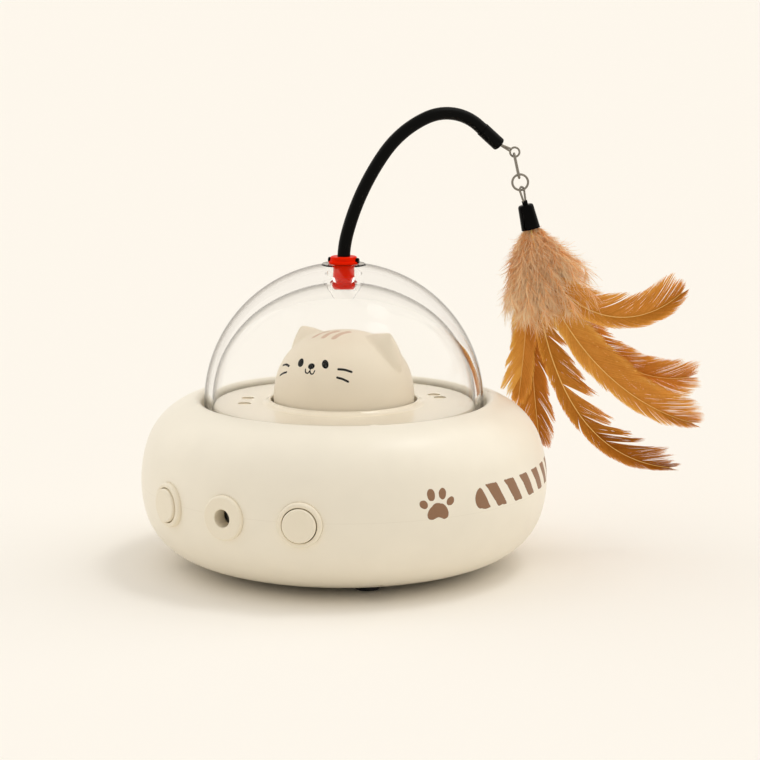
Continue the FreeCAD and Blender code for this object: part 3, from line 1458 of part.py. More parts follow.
def fluff():
    """Tuft of down round the quills, as one closed soft body: a skirt that closes below."""
    shoulder = V(FLUFF_NECK_R, 0, 0)
    side = V(0.72 * FLUFF_R, 0, -0.3 * FLUFF_L)
    waist = V(FLUFF_R, 0, -0.66 * FLUFF_L)
    hem = V(0.75 * FLUFF_R, 0, -0.88 * FLUFF_L)
    low = V(0.3 * FLUFF_R, 0, -FLUFF_L)
    top = V(FLUFF_NECK_R - 0.6, 0, QUILL_IN)
    tuft = spun([line(V(0, 0, -FLUFF_L), low), Part.Arc(low, hem, waist).toShape(),
                 Part.Arc(waist, side, shoulder).toShape(), line(shoulder, top),
                 line(top, V(0, 0, QUILL_IN)), line(V(0, 0, QUILL_IN), V(0, 0, -FLUFF_L))])
    tuft.rotate(ORIGIN, V(0, 1, 0), -LURE_TILT)
    tuft.translate(cap_mouth())
    return fan(tuft)


def back_lean(edge):
    """Lean that carries a blade, whose inner edge is at x = edge, clear behind the whole body."""
    mouth = fan_point(cap_mouth())
    a = radians(FAN_ANGLE)
    along = mouth.x * cos(a) + mouth.y * sin(a) + edge
    behind = mouth.y * cos(a) - mouth.x * sin(a)
    clear = sqrt((BODY_R + FEATHER_CLEAR) ** 2 - along ** 2)
    return degrees(atan2(clear - behind, mouth.z - SEAM_Z))


def feather_table():
    """Each feather: two bends and the tip of its shaft (along, down), its half widths on the upper
    and the lower side of the shaft, how far its blade turns about the upright, how far it leans
    back, and its place in the bundle from front to back.
    """
    behind = back_lean(BACK_EDGE)
    return {
        "feather_1": ((4, 26), (34, 44), (57.5, 21), 9.0, 4.8, -16, 0, -2.2),
        "feather_2": ((3, 26), (26, 64), (62, 72), 9.0, 5.0, -8, 0, -1.45),
        "feather_3": ((6, 24), (28, 62), (61, 56), 7.5, 8.0, 0, 0, -0.7),
        "feather_4": ((2, 30), (9, 88), (56, 93), 8.5, 4.0, 8, 0, 0.05),
        "feather_5": ((0, 22), (-1, 46), (-4, 72), 6.0, 6.5, 14, behind - 3, 1.2),
        "feather_6": ((0, 28), (1.5, 62), (6.5, 94), 7.5, 8.5, 14, behind, 2.2),
    }


def feather_spot(bends, t):
    """Point and sideways direction on the shaft's cubic curve."""
    p1, p2, p3 = bends
    s = 1 - t
    x = 3 * s * s * t * p1[0] + 3 * s * t * t * p2[0] + t ** 3 * p3[0]
    d = 3 * s * s * t * p1[1] + 3 * s * t * t * p2[1] + t ** 3 * p3[1]
    gx = 3 * s * s * p1[0] + 6 * s * t * (p2[0] - p1[0]) + 3 * t * t * (p3[0] - p2[0])
    gd = 3 * s * s * p1[1] + 6 * s * t * (p2[1] - p1[1]) + 3 * t * t * (p3[1] - p2[1])
    n = hypot(gx, gd)
    return V(x, 0, -d), V(gd / n, 0, gx / n)


def vane_half(t, half):
    """Half width of a blade: bare quill, then a long leaf that closes to a soft point."""
    if t < VANE_START:
        return QUILL_R
    u = (t - VANE_START) / (1 - VANE_START)
    return max(QUILL_R, half * (4 * u * (1 - u)) ** 0.6 * (1.0 + 0.25 * (u - 0.5)))


def feather(bends, upper, lower, turn, lean, place):
    """Flat leaf on a curved shaft, cut from a thin sheet."""
    left = []
    right = []
    for k in range(VANE_SPOTS):
        t = k / (VANE_SPOTS - 1)
        spot, side = feather_spot(bends, t)
        left.append(spot + side * vane_half(t, upper))
        right.append(spot - side * vane_half(t, lower))
    curve = Part.BSplineCurve()
    curve.interpolate(left)
    back = Part.BSplineCurve()
    back.interpolate(list(reversed(right)))
    low = V(right[0].x, 0, QUILL_IN)
    high = V(left[0].x, 0, QUILL_IN)
    edges = [curve.toShape(), line(left[-1], right[-1]), back.toShape(),
             line(right[0], low), line(low, high), line(high, left[0])]
    blade = Part.Face(Part.Wire(edges)).extrude(V(0, VANE_T, 0))
    blade.translate(V(0, place - VANE_T / 2, 0))
    blade.rotate(V(0, place, 0), UP, turn)
    blade.rotate(V(0, place, 0), V(1, 0, 0), lean)
    blade.translate(cap_mouth())
    return fan(blade)


# ---------------------------------------------------------------- the whole toy

def main():
    os.makedirs("parts", exist_ok=True)
    left, middle, right = control_angles()
    boards = group([facing(switch_board(), a, CONTROL_Z) for a in (left, right)])
    switches = group([facing(tact_switch(), a, CONTROL_Z) for a in (left, right)])
    nodes = {
        "lower_housing": lower_housing(), "upper_housing": upper_housing(),
        "housing_screws": housing_screws(), "rubber_feet": rubber_feet(),
        "battery_door": battery_door(), "door_screw": door_screw(),
        "battery_cells": battery_cells(), "battery_contacts": battery_contacts(),
        "chassis": chassis(), "chassis_screws": chassis_screws(),
        "gear_motor": gear_motor(), "motor_clamp": motor_clamp(), "clamp_screws": clamp_screws(),
        "motor_shaft": motor_shaft(), "drive_pinion": drive_pinion(), "head_gear": head_gear(),
        "ring_gear": ring_gear(), "ring_screws": ring_screws(), "turntable": turntable(),
        "deck": deck(), "deck_screws": deck_screws(), "dome": dome(),
        "head_shell": head_shell(), "head_base": head_base(), "head_screws": head_screws(),
        "head_spindle": head_spindle(), "spindle_clip": spindle_clip(),
        "left_bezel": facing(bezel(CAP_R + CAP_GAP), left, CONTROL_Z),
        "right_bezel": facing(bezel(CAP_R + CAP_GAP), right, CONTROL_Z),
        "aperture_bezel": facing(bezel(APERTURE_R), middle, CONTROL_Z),
        "left_button": facing(button(), left, CONTROL_Z), "right_button": facing(button(), right, CONTROL_Z),
        "switch_boards": boards, "tact_switches": switches,
        "laser_module": laser_module(), "laser_lens": laser_lens(), "laser_cradle": laser_cradle(),
        "sweep_shaft": sweep_shaft(), "sweep_motor": sweep_motor(), "sweep_bracket": sweep_bracket(),
        "bracket_screws": bracket_screws(), "main_board": main_board(), "board_parts": board_parts(),
        "wand_plug": wand_plug(), "plug_pins": plug_pins(), "wand_tube": wand_tube(),
        "end_sleeve": end_sleeve(), "wand_eye": wand_eye(), "chain_link": chain_link(),
        "chain_ring": chain_ring(), "ferrule_loop": ferrule_loop(), "ferrule_cap": ferrule_cap(),
        "fluff": fluff(),
    }
    for name, values in feather_table().items():
        nodes[name] = feather(values[:3], *values[3:])
    for name, shape in nodes.items():
        export(name, shape)
        print(name, len(shape.Solids), "solids, valid", shape.isValid(), "volume", round(shape.Volume, 1))
    for name, p in (("eye", eye_pivot()), ("ring", link_foot()), ("lure", lure_pivot())):
        print(name, "pivot", [round(c, 3) for c in fan_point(p)])


main()
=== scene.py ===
# %% [markdown]
# # An automatic cat toy
# A round battery toy with a clear dome, a cat's head that turns under it and a feather lure on a
# bent wand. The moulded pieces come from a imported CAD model, so each one already has its true size
# and place. This lesson gives them their finishes, and makes what a CAD solid can't be: smooth
# clear plastic, printed marks, barbed feathers and loose down.

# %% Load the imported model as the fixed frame
import math
import bmesh
import bpy
import numpy as np
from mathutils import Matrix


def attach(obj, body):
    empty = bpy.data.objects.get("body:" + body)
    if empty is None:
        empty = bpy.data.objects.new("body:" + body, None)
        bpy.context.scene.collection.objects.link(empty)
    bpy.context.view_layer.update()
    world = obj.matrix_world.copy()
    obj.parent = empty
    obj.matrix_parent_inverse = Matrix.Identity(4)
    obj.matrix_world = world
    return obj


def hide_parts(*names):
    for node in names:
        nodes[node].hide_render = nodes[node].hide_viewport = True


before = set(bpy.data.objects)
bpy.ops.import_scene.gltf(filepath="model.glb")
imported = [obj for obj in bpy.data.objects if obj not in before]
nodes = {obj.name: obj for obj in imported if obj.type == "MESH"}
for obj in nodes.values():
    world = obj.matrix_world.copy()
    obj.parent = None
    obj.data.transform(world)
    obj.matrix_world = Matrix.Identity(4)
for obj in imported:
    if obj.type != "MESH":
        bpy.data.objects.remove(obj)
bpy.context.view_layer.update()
MM = 0.001


def add_object(name, data):
    """A new object in the scene, at the origin and unscaled, that holds a mesh, lamp or camera."""
    piece = bpy.data.objects.new(name, data)
    bpy.context.scene.collection.objects.link(piece)
    return piece


def merge_points(mesh, distance_mm):
    """Joins points nearer than a distance, which closes seams and poles and drops empty faces."""
    work = bmesh.new()
    work.from_mesh(mesh)
    bmesh.ops.remove_doubles(work, verts=work.verts, dist=distance_mm * MM)
    work.to_mesh(mesh)
    work.free()


def read_values(items, field, width=1, kind=float):
    """One field of all the points, corners, edges or faces of a mesh, as rows of width numbers."""
    values = np.empty(len(items) * width, kind)
    items.foreach_get(field, values)
    return values.reshape(-1, width) if width > 1 else values


# %% [markdown]
# ## Camera
# The toy is seen from its front right and a little above. A long lens keeps the dome round. The
# camera could be placed by hand, but five numbers say the same: how far it turns round the toy,
# how much it looks down, its distance, and how far aside and up the point lies that it looks at.

# %% Camera
TURN = math.radians(33.2)
LOOK_DOWN = math.radians(10.4)
DISTANCE = 0.9584
AIM_ASIDE, AIM_HEIGHT = 0.01327, 0.06795
FOCAL_MM, SENSOR_MM = 123.16, 36.0
aim = np.array([AIM_ASIDE * math.cos(TURN), AIM_ASIDE * math.sin(TURN), AIM_HEIGHT])
level = math.cos(LOOK_DOWN)
ahead = np.array([-math.sin(TURN) * level, math.cos(TURN) * level, -math.sin(LOOK_DOWN)])
lens = bpy.data.cameras.new("camera")
lens.sensor_width = SENSOR_MM
lens.lens = FOCAL_MM
lens.clip_end = 100.0
camera = add_object("camera", lens)
camera.location = aim - DISTANCE * ahead
camera.rotation_euler = (math.pi / 2 - LOOK_DOWN, 0.0, TURN)
bpy.context.scene.camera = camera
bpy.context.scene.view_settings.view_transform = "Standard"
print("camera at", [round(c, 3) for c in camera.location])

# %% [markdown]
# ## Shader maths in plain Python
# A material's pattern is a formula. Wiring Math nodes by hand hides that formula, so a small class
# wraps a socket: an expression such as `1 - mask * 0.3` then adds its own nodes.

# %% A socket that takes part in Python expressions
class Wire:
    """A socket in a node tree. Each operator adds one Math node and returns its output."""

    def __init__(self, tree, socket):
        self.tree = tree
        self.socket = socket

    def maths(self, operation, *others, swap=False):
        """Adds a Math node that takes this socket and the others, or with swap in reverse order."""
        values = [self, *others]
        if swap:
            values.reverse()
        return add_node(self.tree, "ShaderNodeMath", {"operation": operation}, dict(enumerate(values)))

    def __add__(self, other):
        return self.maths("ADD", other)

    def __sub__(self, other):
        return self.maths("SUBTRACT", other)

    def __rsub__(self, other):
        return self.maths("SUBTRACT", other, swap=True)

    def __mul__(self, other):
        return self.maths("MULTIPLY", other)

    def __truediv__(self, other):
        return self.maths("DIVIDE", other)

    def smooth(self, low, high):
        """0 below low, 1 above high, and a soft step between them."""
        return add_node(self.tree, "ShaderNodeMapRange", {"interpolation_type": "SMOOTHSTEP"},
                        {"Value": self, "From Min": low, "From Max": high})

    __radd__ = __add__
    __rmul__ = __mul__


def add_node(tree, kind, settings=None, values=None, output=0):
    """Adds a node: its settings first, then each socket's value or link; returns one output.

    A colour ramp starts with two stops, so the first two of its list set those, and the rest are new.
    """
    node = tree.nodes.new(kind)
    for name, value in (settings or {}).items():
        if name == "stops":
            ramp = node.color_ramp
            for place, (at, colour) in enumerate(value):
                stop = ramp.elements[place] if place < 2 else ramp.elements.new(at)
                stop.position = at
                stop.color = (*colour, 1.0)
        else:
            setattr(node, name, value)
    for name, value in (values or {}).items():
        socket = node.inputs[name]
        if isinstance(value, Wire):
            tree.links.new(value.socket, socket)
        else:
            socket.default_value = (*value, 1.0) if is_colour(value) else value
    return Wire(tree, node.outputs[output])


def is_colour(value):
    """True for three numbers; a socket for a colour wants a fourth."""
    return hasattr(value, "__len__") and len(value) == 3


def paint(*rgb):
    """Linear colour of a screen colour in 0..255: a channel c goes to ((c + .055) / 1.055) ** 2.4."""
    c = np.array(rgb) / 255.0
    return tuple(float(x) for x in np.where(c <= 0.04045, c / 12.92, ((c + 0.055) / 1.055) ** 2.4))


def mix_colour(tree, amount, first, second):
    """The first colour where amount is 0 and the second where it is 1."""
    values = {0: amount, 6: first, 7: second}
    return add_node(tree, "ShaderNodeMix", {"data_type": "RGBA"}, values, output=2)


def around(rgb, down, up):
    """Two linear colours: a screen colour made darker by a share, and lighter by another, up to 1."""
    base = np.array(paint(*rgb))
    return tuple(base * (1 - down)), tuple(np.minimum(base * (1 + up), 1))


def place_on(tree):
    """Object coordinates: metres in the toy's own frame."""
    return add_node(tree, "ShaderNodeTexCoord", output=3)


def speckle(tree, size_mm, detail=2.0, rough=0.5):
    """Noise whose cells are about size_mm across, from 0 to 1."""
    values = {"Vector": place_on(tree), "Scale": 1000.0 / size_mm, "Detail": detail, "Roughness": rough}
    return add_node(tree, "ShaderNodeTexNoise", None, values)


def relief(tree, height, depth_mm, strength=1.0):
    """Bump from a height field of 0 to 1 that is depth_mm deep."""
    return add_node(tree, "ShaderNodeBump", None,
                    {"Height": height, "Distance": depth_mm * MM, "Strength": strength})


def finish_of(name, **values):
    """A Principled material: keyword spaces are underscores; values are numbers or colours."""
    material = bpy.data.materials.new(name)
    material.use_nodes = True
    tree = material.node_tree
    tree.nodes.clear()
    shader = tree.nodes.new("ShaderNodeBsdfPrincipled")
    output = tree.nodes.new("ShaderNodeOutputMaterial")
    tree.links.new(shader.outputs[0], output.inputs[0])
    for key, value in values.items():
        socket = shader.inputs[key.replace("_", " ")]
        socket.default_value = (*value, 1.0) if is_colour(value) else value
    return material, tree, shader


def link(shader, name, wire):
    """Joins a wire to one input of a shader."""
    wire.tree.links.new(wire.socket, shader.inputs[name])


def dress(material, *names):
    """Gives CAD nodes or new pieces one material."""
    for name in names:
        mesh = bpy.data.objects[name].data
        mesh.materials.clear()
        mesh.materials.append(material)


# %% [markdown]
# ## Floor and light
# A plain pale studio: the floor is one wide sheet in the background's colour. Two wide windows (suns
# with a large angle) stand a little behind the toy on either side, so its front is the calmer part,
# and a small third one gives satin and gloss a highlight. The sky is brighter overhead. A sky as
# bright as the paper would wash out every shade, so it gives less light than it shows: a Light
# Path node lets the camera, reflections and clear plastic see it at the paper's own colour.

# %% Floor, world and lamps
PAPER = (0.956, 0.896, 0.807)
SKY_LIGHT = 0.3
SKY_RISE = 0.68
SKY_COLOUR = (0.98, 0.955, 0.92)
HALF_FLOOR = 30.0
corners = [(x * HALF_FLOOR, y * HALF_FLOOR, 0) for x, y in ((-1, -1), (1, -1), (1, 1), (-1, 1))]
floor_mesh = bpy.data.meshes.new("floor")
floor_mesh.from_pydata(corners, [], [(0, 1, 2, 3)])
floor = add_object("floor", floor_mesh)
floor_paint, tree, shader = finish_of("floor_paper", Base_Color=(0.93, 0.892, 0.826),
                                      Roughness=0.9, Specular_IOR_Level=0.0)
floor_mesh.materials.append(floor_paint)

world = bpy.data.worlds.new("studio")
bpy.context.scene.world = world
world.use_nodes = True
tree = world.node_tree
tree.nodes.clear()
seen = add_node(tree, "ShaderNodeLightPath", output="Is Camera Ray")
for ray in ("Is Glossy Ray", "Is Transmission Ray"):
    seen = seen.maths("MAXIMUM", add_node(tree, "ShaderNodeLightPath", output=ray))
way_up = add_node(tree, "ShaderNodeTexCoord", output=0)
height = add_node(tree, "ShaderNodeSeparateXYZ", None, {0: way_up}, output=2)
light = add_node(tree, "ShaderNodeBackground", None, {0: SKY_COLOUR, 1: height * SKY_RISE + SKY_LIGHT})
paper = add_node(tree, "ShaderNodeBackground", None, {0: PAPER, 1: 1.0})
sky = add_node(tree, "ShaderNodeMixShader", None, {0: seen, 1: light, 2: paper})
out = tree.nodes.new("ShaderNodeOutputWorld")
tree.links.new(sky.socket, out.inputs[0])


CAMERA_TURN = 33


def sun(name, strength, spread, tilt, turn, colour=(1, 1, 1)):
    """A lamp at infinity: tilt from overhead and turn from the camera's side, in degrees."""
    lamp = bpy.data.lights.new(name, "SUN")
    lamp.energy = strength
    lamp.angle = math.radians(spread)
    lamp.color = colour
    holder = add_object(name, lamp)
    holder.rotation_euler = (math.radians(tilt), 0.0, math.radians(CAMERA_TURN + turn))


sun("right_window", 0.70, 60, 48, 104, (1.0, 0.985, 0.96))
sun("left_window", 0.50, 70, 60, -108)
sun("glint", 0.34, 14, 21, 105)

# %% [markdown]
# ## Smooth skins for the moulded shells
# A CAD mesh is flat triangles, and a satin surface would show each of them. Subdividing can't help,
# because the triangles already lie on the true surface. What is missing is the true direction of
# the surface at each corner. The shells are turned shapes, so that direction comes from the
# profile: a copy of the mesh gets it wherever its own facets nearly agree.

# %% The profile of the body and the head: three tangent arcs
def flank(full_r, flat_r, height, side_r, side_turn, top_turn, count=240):
    """Side, shoulder and top arcs from the equator (full_r, 0) to (flat_r, height), in mm.

    With s and c the sine and cosine of the heading where two arcs meet, the rise is
    side_r s1 + shoulder_r (s2 - s1) + top_r (1 - s2), and the way inward is the same in 1 - c.
    """
    a1, a2 = math.radians(side_turn), math.radians(90 - top_turn)
    rise = height - side_r * math.sin(a1)
    way = full_r - flat_r - side_r * (1 - math.cos(a1))
    matrix = np.array([[math.sin(a2) - math.sin(a1), 1 - math.sin(a2)],
                       [math.cos(a1) - math.cos(a2), math.cos(a2)]])
    shoulder_r, top_r = np.linalg.solve(matrix, [rise, way])
    heading = np.linspace(0, math.pi / 2, count)
    radius = np.where(heading < a1, side_r, np.where(heading < a2, shoulder_r, top_r))
    step = np.diff(heading)
    middle = 0.5 * (heading[1:] + heading[:-1])
    bow = 0.5 * (radius[1:] + radius[:-1])
    r = full_r - np.concatenate([[0], np.cumsum(bow * step * np.sin(middle))])
    z = np.concatenate([[0], np.cumsum(bow * step * np.cos(middle))])
    return r, z, heading


SEAM_Z = 31.5
DECK_TOP = 60.0
HEAD_Z = 61.5
crown = flank(75.0, 40.8, 32.2, 46.7, 17.1, 19.0)
belly = flank(75.0, 41.4, 29.9, 40.5, 15.5, 22.4)
skull = flank(25.9, 0.0, 25.8, 35.0, 13.7, 20.0)
print("crown top", round(SEAM_Z + crown[1][-1], 2), "mm at radius", round(crown[0][-1], 2))


def body_side(z):
    """Radius and upward tilt (radians) of the body's skin at height z, all in mm."""
    rise = z - SEAM_Z
    above = rise >= 0
    radius = np.where(above, np.interp(rise, crown[1], crown[0]), np.interp(-rise, belly[1], belly[0]))
    tilt = np.where(above, np.interp(rise, crown[1], crown[2]), -np.interp(-rise, belly[1], belly[2]))
    return radius, tilt


def head_side(z):
    """The same for the head's skin."""
    return np.interp(z - HEAD_Z, skull[1], skull[0]), np.interp(z - HEAD_Z, skull[1], skull[2])


# %% A merged copy of a CAD node with smooth corners
MERGE_MM = 0.002


def skin(node, name, body, side, sharp=30.0, near=9.0, off_mm=0.4):
    """Copies a node, joins its loose triangles, and smooths corners flatter than sharp degrees.

    A corner within off_mm of the turned surface gets (cos t cos a, cos t sin a, sin t), with t the
    profile's tilt and a the angle round the axis, if its facet is within near degrees of that.
    """
    piece = add_object(name, nodes[node].data.copy())
    mesh = piece.data
    merge_points(mesh, MERGE_MM)
    mesh.shade_smooth()
    mesh.set_sharp_from_angle(angle=math.radians(sharp))
    where = read_values(mesh.vertices, "co", 3) / MM
    round_r = np.hypot(where[:, 0], where[:, 1])
    radius, tilt = side(where[:, 2])
    flat = np.stack([where[:, 0] / round_r, where[:, 1] / round_r], axis=1)
    true = np.concatenate([flat * np.cos(tilt)[:, None], np.sin(tilt)[:, None]], axis=1)
    on_side = np.abs(round_r - radius) < off_mm
    corner = read_values(mesh.loops, "vertex_index", kind=int)
    facet = read_values(mesh.polygons, "normal", 3)
    facet = np.repeat(facet, read_values(mesh.polygons, "loop_total", kind=int), axis=0)
    agree = np.sum(facet * true[corner], axis=1) > math.cos(math.radians(near))
    agree &= on_side[corner]
    mesh.normals_split_custom_set(np.where(agree[:, None], true[corner], 0.0).tolist())
    print(name, "corners set from the profile:", int(agree.sum()), "of", len(corner))
    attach(piece, body)
    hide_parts(node)


skin("upper_housing", "upper_shell_skin", "base", body_side)
skin("lower_housing", "lower_shell_skin", "base", body_side)

# %% [markdown]
# ## The head, with its ears run softly into it
# The solid's ears meet the head in a crease. On the real head they grow out of it. A voxel remesh
# gives even small faces; then each point near the ears moves towards the mean of its neighbours a
# few times, which rounds the crease. Elsewhere the points go back to the true profile.

# %% Remesh, smooth near the ears, and put the rest back on the profile
NEAR_AXIS = 6


def softened(node, name, body, side, voxel=0.45, rounds=12, low=77.0, high=79.5):
    """Each round moves a point v by w (mean of its neighbours - v) / 2; w rises from 0 to 1 between
    the heights low and high. Points within 0.25 mm of the profile then go back to it, fully below
    0.05 mm, but not near the axis, where a small step in height is a long one in radius.
    """
    rough = add_object("rough", nodes[node].data.copy())
    merge_points(rough.data, MERGE_MM)
    change = rough.modifiers.new("remesh", "REMESH")
    change.mode = "VOXEL"
    change.voxel_size = voxel * MM
    remeshed = rough.evaluated_get(bpy.context.evaluated_depsgraph_get())
    mesh = bpy.data.meshes.new_from_object(remeshed)
    bpy.data.objects.remove(rough)
    spot = read_values(mesh.vertices, "co", 3) / MM
    count = len(spot)
    a, b = read_values(mesh.edges, "vertices", 2, int).T
    near = np.bincount(a, minlength=count) + np.bincount(b, minlength=count)
    weight = np.clip((spot[:, 2] - low) / (high - low), 0, 1)[:, None]
    for _ in range(rounds):
        total = np.stack([np.bincount(a, spot[b, k], count) + np.bincount(b, spot[a, k], count)
                          for k in range(3)], axis=1)
        spot = spot + 0.5 * weight * (total / near[:, None] - spot)
    flat_r = np.hypot(spot[:, 0], spot[:, 1])
    radius, tilt = side(spot[:, 2])
    off = (flat_r - radius) * np.cos(tilt)
    back = np.clip((0.25 - np.abs(off)) / 0.2, 0, 1)
    scale = 1 + (radius / np.maximum(flat_r, 0.5) - 1) * back * (radius > NEAR_AXIS)
    spot[:, :2] *= scale[:, None]
    mesh.vertices.foreach_set("co", (spot * MM).ravel())
    mesh.shade_smooth()
    mesh.set_sharp_from_angle(angle=math.radians(60))
    piece = add_object(name, mesh)
    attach(piece, body)
    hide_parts(node)
    print(name, "faces:", len(mesh.polygons))


softened("head_shell", "head_skin", "head_unit", head_side)

# %% [markdown]
# ## The clear dome
# Clear plastic shows both of its walls, so the dome is turned afresh from one closed profile:
# outside, over the rim of the socket, down its bore, round the nose below and back along the
# inside. The wall thickens towards the crown, which bends the light there as on the real cover.

# %% A closed profile turned round the axis
def arc(cx, cz, rx, rz, start, end, count):
    """Points (cx + rx cos a, cz + rz sin a) for a from start to end in degrees."""
    a = np.radians(np.linspace(start, end, count))
    return np.stack([cx + rx * np.cos(a), cz + rz * np.sin(a)], axis=1)


def turn_profile(name, outline, count=320):
    """Grid (i, j) -> (r_i cos a_j, r_i sin a_j, z_i), a_j evenly round; rows on the axis are merged."""
    r, z = (np.asarray(outline, float) * MM).T
    a = np.linspace(0, 2 * math.pi, count, endpoint=False)
    points = np.stack([np.outer(r, np.cos(a)), np.outer(r, np.sin(a)), np.outer(z, np.ones(count))],
                      axis=2)
    index = np.arange(len(r) * count).reshape(len(r), count)
    beside, next_row = np.roll(index, -1, axis=1), np.roll(index, -1, axis=0)
    faces = np.stack([index, beside, np.roll(next_row, -1, axis=1), next_row], axis=-1)
    mesh = bpy.data.meshes.new(name)
    mesh.from_pydata(points.reshape(-1, 3).tolist(), [], faces.reshape(-1, 4).tolist())
    work = bmesh.new()
    work.from_mesh(mesh)
    bmesh.ops.remove_doubles(work, verts=work.verts, dist=0.01 * MM)
    bmesh.ops.dissolve_degenerate(work, edges=work.edges, dist=0.005 * MM)
    bmesh.ops.recalc_face_normals(work, faces=work.faces)
    work.to_mesh(mesh)
    work.free()
    mesh.shade_smooth()
    mesh.set_sharp_from_angle(angle=math.radians(40))
    return add_object(name, mesh)


DOME_R, DOME_INSIDE_R, DOME_FOOT = 51.5, 48.5, 54.0
CEILING = 44.7
RIM_R, RIM_Z = 8.2, 111.3
BORE_R, BORE_DEPTH = 4.26, 9.4
NOSE_FLAT_R, NOSE_DROP, NECK_R = 3.6, 3.0, 6.0
rim_angle = math.degrees(math.acos(RIM_R / DOME_R))
ceiling_r, ceiling_z, _ = flank(DOME_INSIDE_R, 0.0, CEILING, 42.3, 30.0, 30.0)
inside = np.stack([ceiling_r, ceiling_z + DECK_TOP], axis=1)[::-1]
inside = inside[inside[:, 0] > NECK_R][::2]
floor_z = RIM_Z - BORE_DEPTH
nose_z = floor_z - NOSE_DROP
outline = np.concatenate([
    [(DOME_INSIDE_R, DOME_FOOT), (51.1, DOME_FOOT), (DOME_R, 54.4), (DOME_R, DECK_TOP)],
    arc(0, DECK_TOP, DOME_R, DOME_R, 0, rim_angle, 110)[1:],
    [(RIM_R, RIM_Z - 0.35), (7.85, RIM_Z), (4.6, RIM_Z), (BORE_R, RIM_Z - 0.34), (BORE_R, floor_z),
     (0, floor_z), (0, nose_z), (NOSE_FLAT_R, nose_z), (4.2, nose_z + 0.6), (4.4, nose_z + 1.2),
     (NECK_R, nose_z + 3.4)],
    inside, [(DOME_INSIDE_R, DECK_TOP)],
])
dome = turn_profile("clear_dome", outline)
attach(dome, "turntable_unit")
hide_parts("dome")
print("dome faces:", len(dome.data.polygons))

# %% [markdown]
# ## Finishes of the moulded plastic
# Satin plastic isn't one colour and one roughness: it has a very fine orange-peel relief from its
# mould and slight clouding. Both are noise at a size that only shows up close. The seam between
# the two shells is a hair-thin groove, so it is relief and a little shade at one height.

# %% Satin cream shell
def height_mm(tree):
    """Height above the floor in mm."""
    split = add_node(tree, "ShaderNodeSeparateXYZ", None, {0: place_on(tree)}, output=2)
    return split * (1 / MM)


def satin(name, rgb, roughness, peel_mm=0.9, peel_depth=0.006, cloud=0.03, seam=False):
    """Moulded plastic: colour clouds over 12 mm, orange peel at peel_mm, and an optional seam."""
    material, tree, shader = finish_of(name, IOR=1.5)
    cloudy = speckle(tree, 12.0)
    colour = mix_colour(tree, cloudy, *around(rgb, cloud, cloud))
    peel = speckle(tree, peel_mm)
    if seam:
        distance = (height_mm(tree) - SEAM_Z).maths("ABSOLUTE")
        groove = 1 - distance.smooth(0.02, 0.16)
        colour = mix_colour(tree, groove * 0.09, colour, paint(170, 150, 118))
        peel = peel - groove * 1.6
    link(shader, "Base Color", colour)
    link(shader, "Roughness", roughness + (speckle(tree, 3.0) - 0.5) * 0.06)
    link(shader, "Normal", relief(tree, peel, peel_depth))
    return material


shell_satin = satin("shell_satin", (249, 241, 223), 0.36, seam=True)
control_satin = satin("control_satin", (246, 236, 214), 0.33)
deck_gloss = satin("deck_gloss", (235, 226, 208), 0.12, peel_depth=0.002)
head_matt = satin("head_matt", (226, 216, 198), 0.5, peel_mm=0.5)
inner_satin = satin("inner_satin", (225, 221, 211), 0.45)
gear_satin = satin("gear_satin", (238, 236, 228), 0.3)
dress(shell_satin, "upper_shell_skin", "lower_shell_skin", "battery_door")
dress(control_satin, "left_bezel", "right_bezel", "aperture_bezel", "left_button", "right_button")
dress(deck_gloss, "deck")
dress(head_matt, "head_skin")
dress(inner_satin, "chassis", "motor_clamp", "turntable", "head_base", "laser_cradle", "sweep_bracket")
dress(gear_satin, "drive_pinion", "head_gear", "ring_gear")

# %% [markdown]
# ## Clear plastic, red and black plastic, rubber
# Clear plastic lets all light through. Its dark rims are painted shade: a Layer Weight node darkens
# its colour towards black only where it is seen edge on. Its index is set below that of real plastic,
# so that the thick crown bends little and the head under it stays in its true place. The wand is a
# soft black rod with a dull sheen; the ferrule and the lugs of the plug are harder and shinier.

# %% Clear and coloured plastics
clear, tree, shader = finish_of("clear_plastic", Roughness=0.0, IOR=1.14, Transmission_Weight=1.0)
painted_rim_amount = add_node(tree, "ShaderNodeLayerWeight", None, {"Blend": 0.5}, output=1)
# Painted shade: the colour runs from clear to near black as the plastic is seen more edge on.
link(shader, "Base Color", add_node(tree, "ShaderNodeValToRGB", {"stops": [
    (0.0, (0.995, 0.995, 0.99)), (1.0, (0.001, 0.001, 0.001)), (0.62, (0.985, 0.985, 0.98)),
    (0.73, (0.8, 0.79, 0.78)), (0.8, (0.32, 0.3, 0.28)), (0.87, (0.05, 0.045, 0.04)),
    (0.93, (0.005, 0.005, 0.004))]}, {0: painted_rim_amount}))
dress(clear, "clear_dome")
lens_glass, tree, shader = finish_of("lens_glass", Base_Color=(0.9, 0.93, 0.95), Roughness=0.02,
                                     IOR=1.5, Transmission_Weight=1.0)
dress(lens_glass, "laser_lens")


def glossy(name, rgb, roughness, streak_mm=1.5, variation=0.08, depth=0.003, shine=0.5):
    """Shiny moulded plastic or rubber: faint flow marks in its colour and relief."""
    material, tree, shader = finish_of(name, IOR=1.5, Specular_IOR_Level=shine)
    marks = speckle(tree, streak_mm, 3.0)
    link(shader, "Base Color", mix_colour(tree, marks, *around(rgb, variation, variation)))
    link(shader, "Roughness", roughness + (marks - 0.5) * 0.1)
    link(shader, "Normal", relief(tree, marks, depth))
    return material


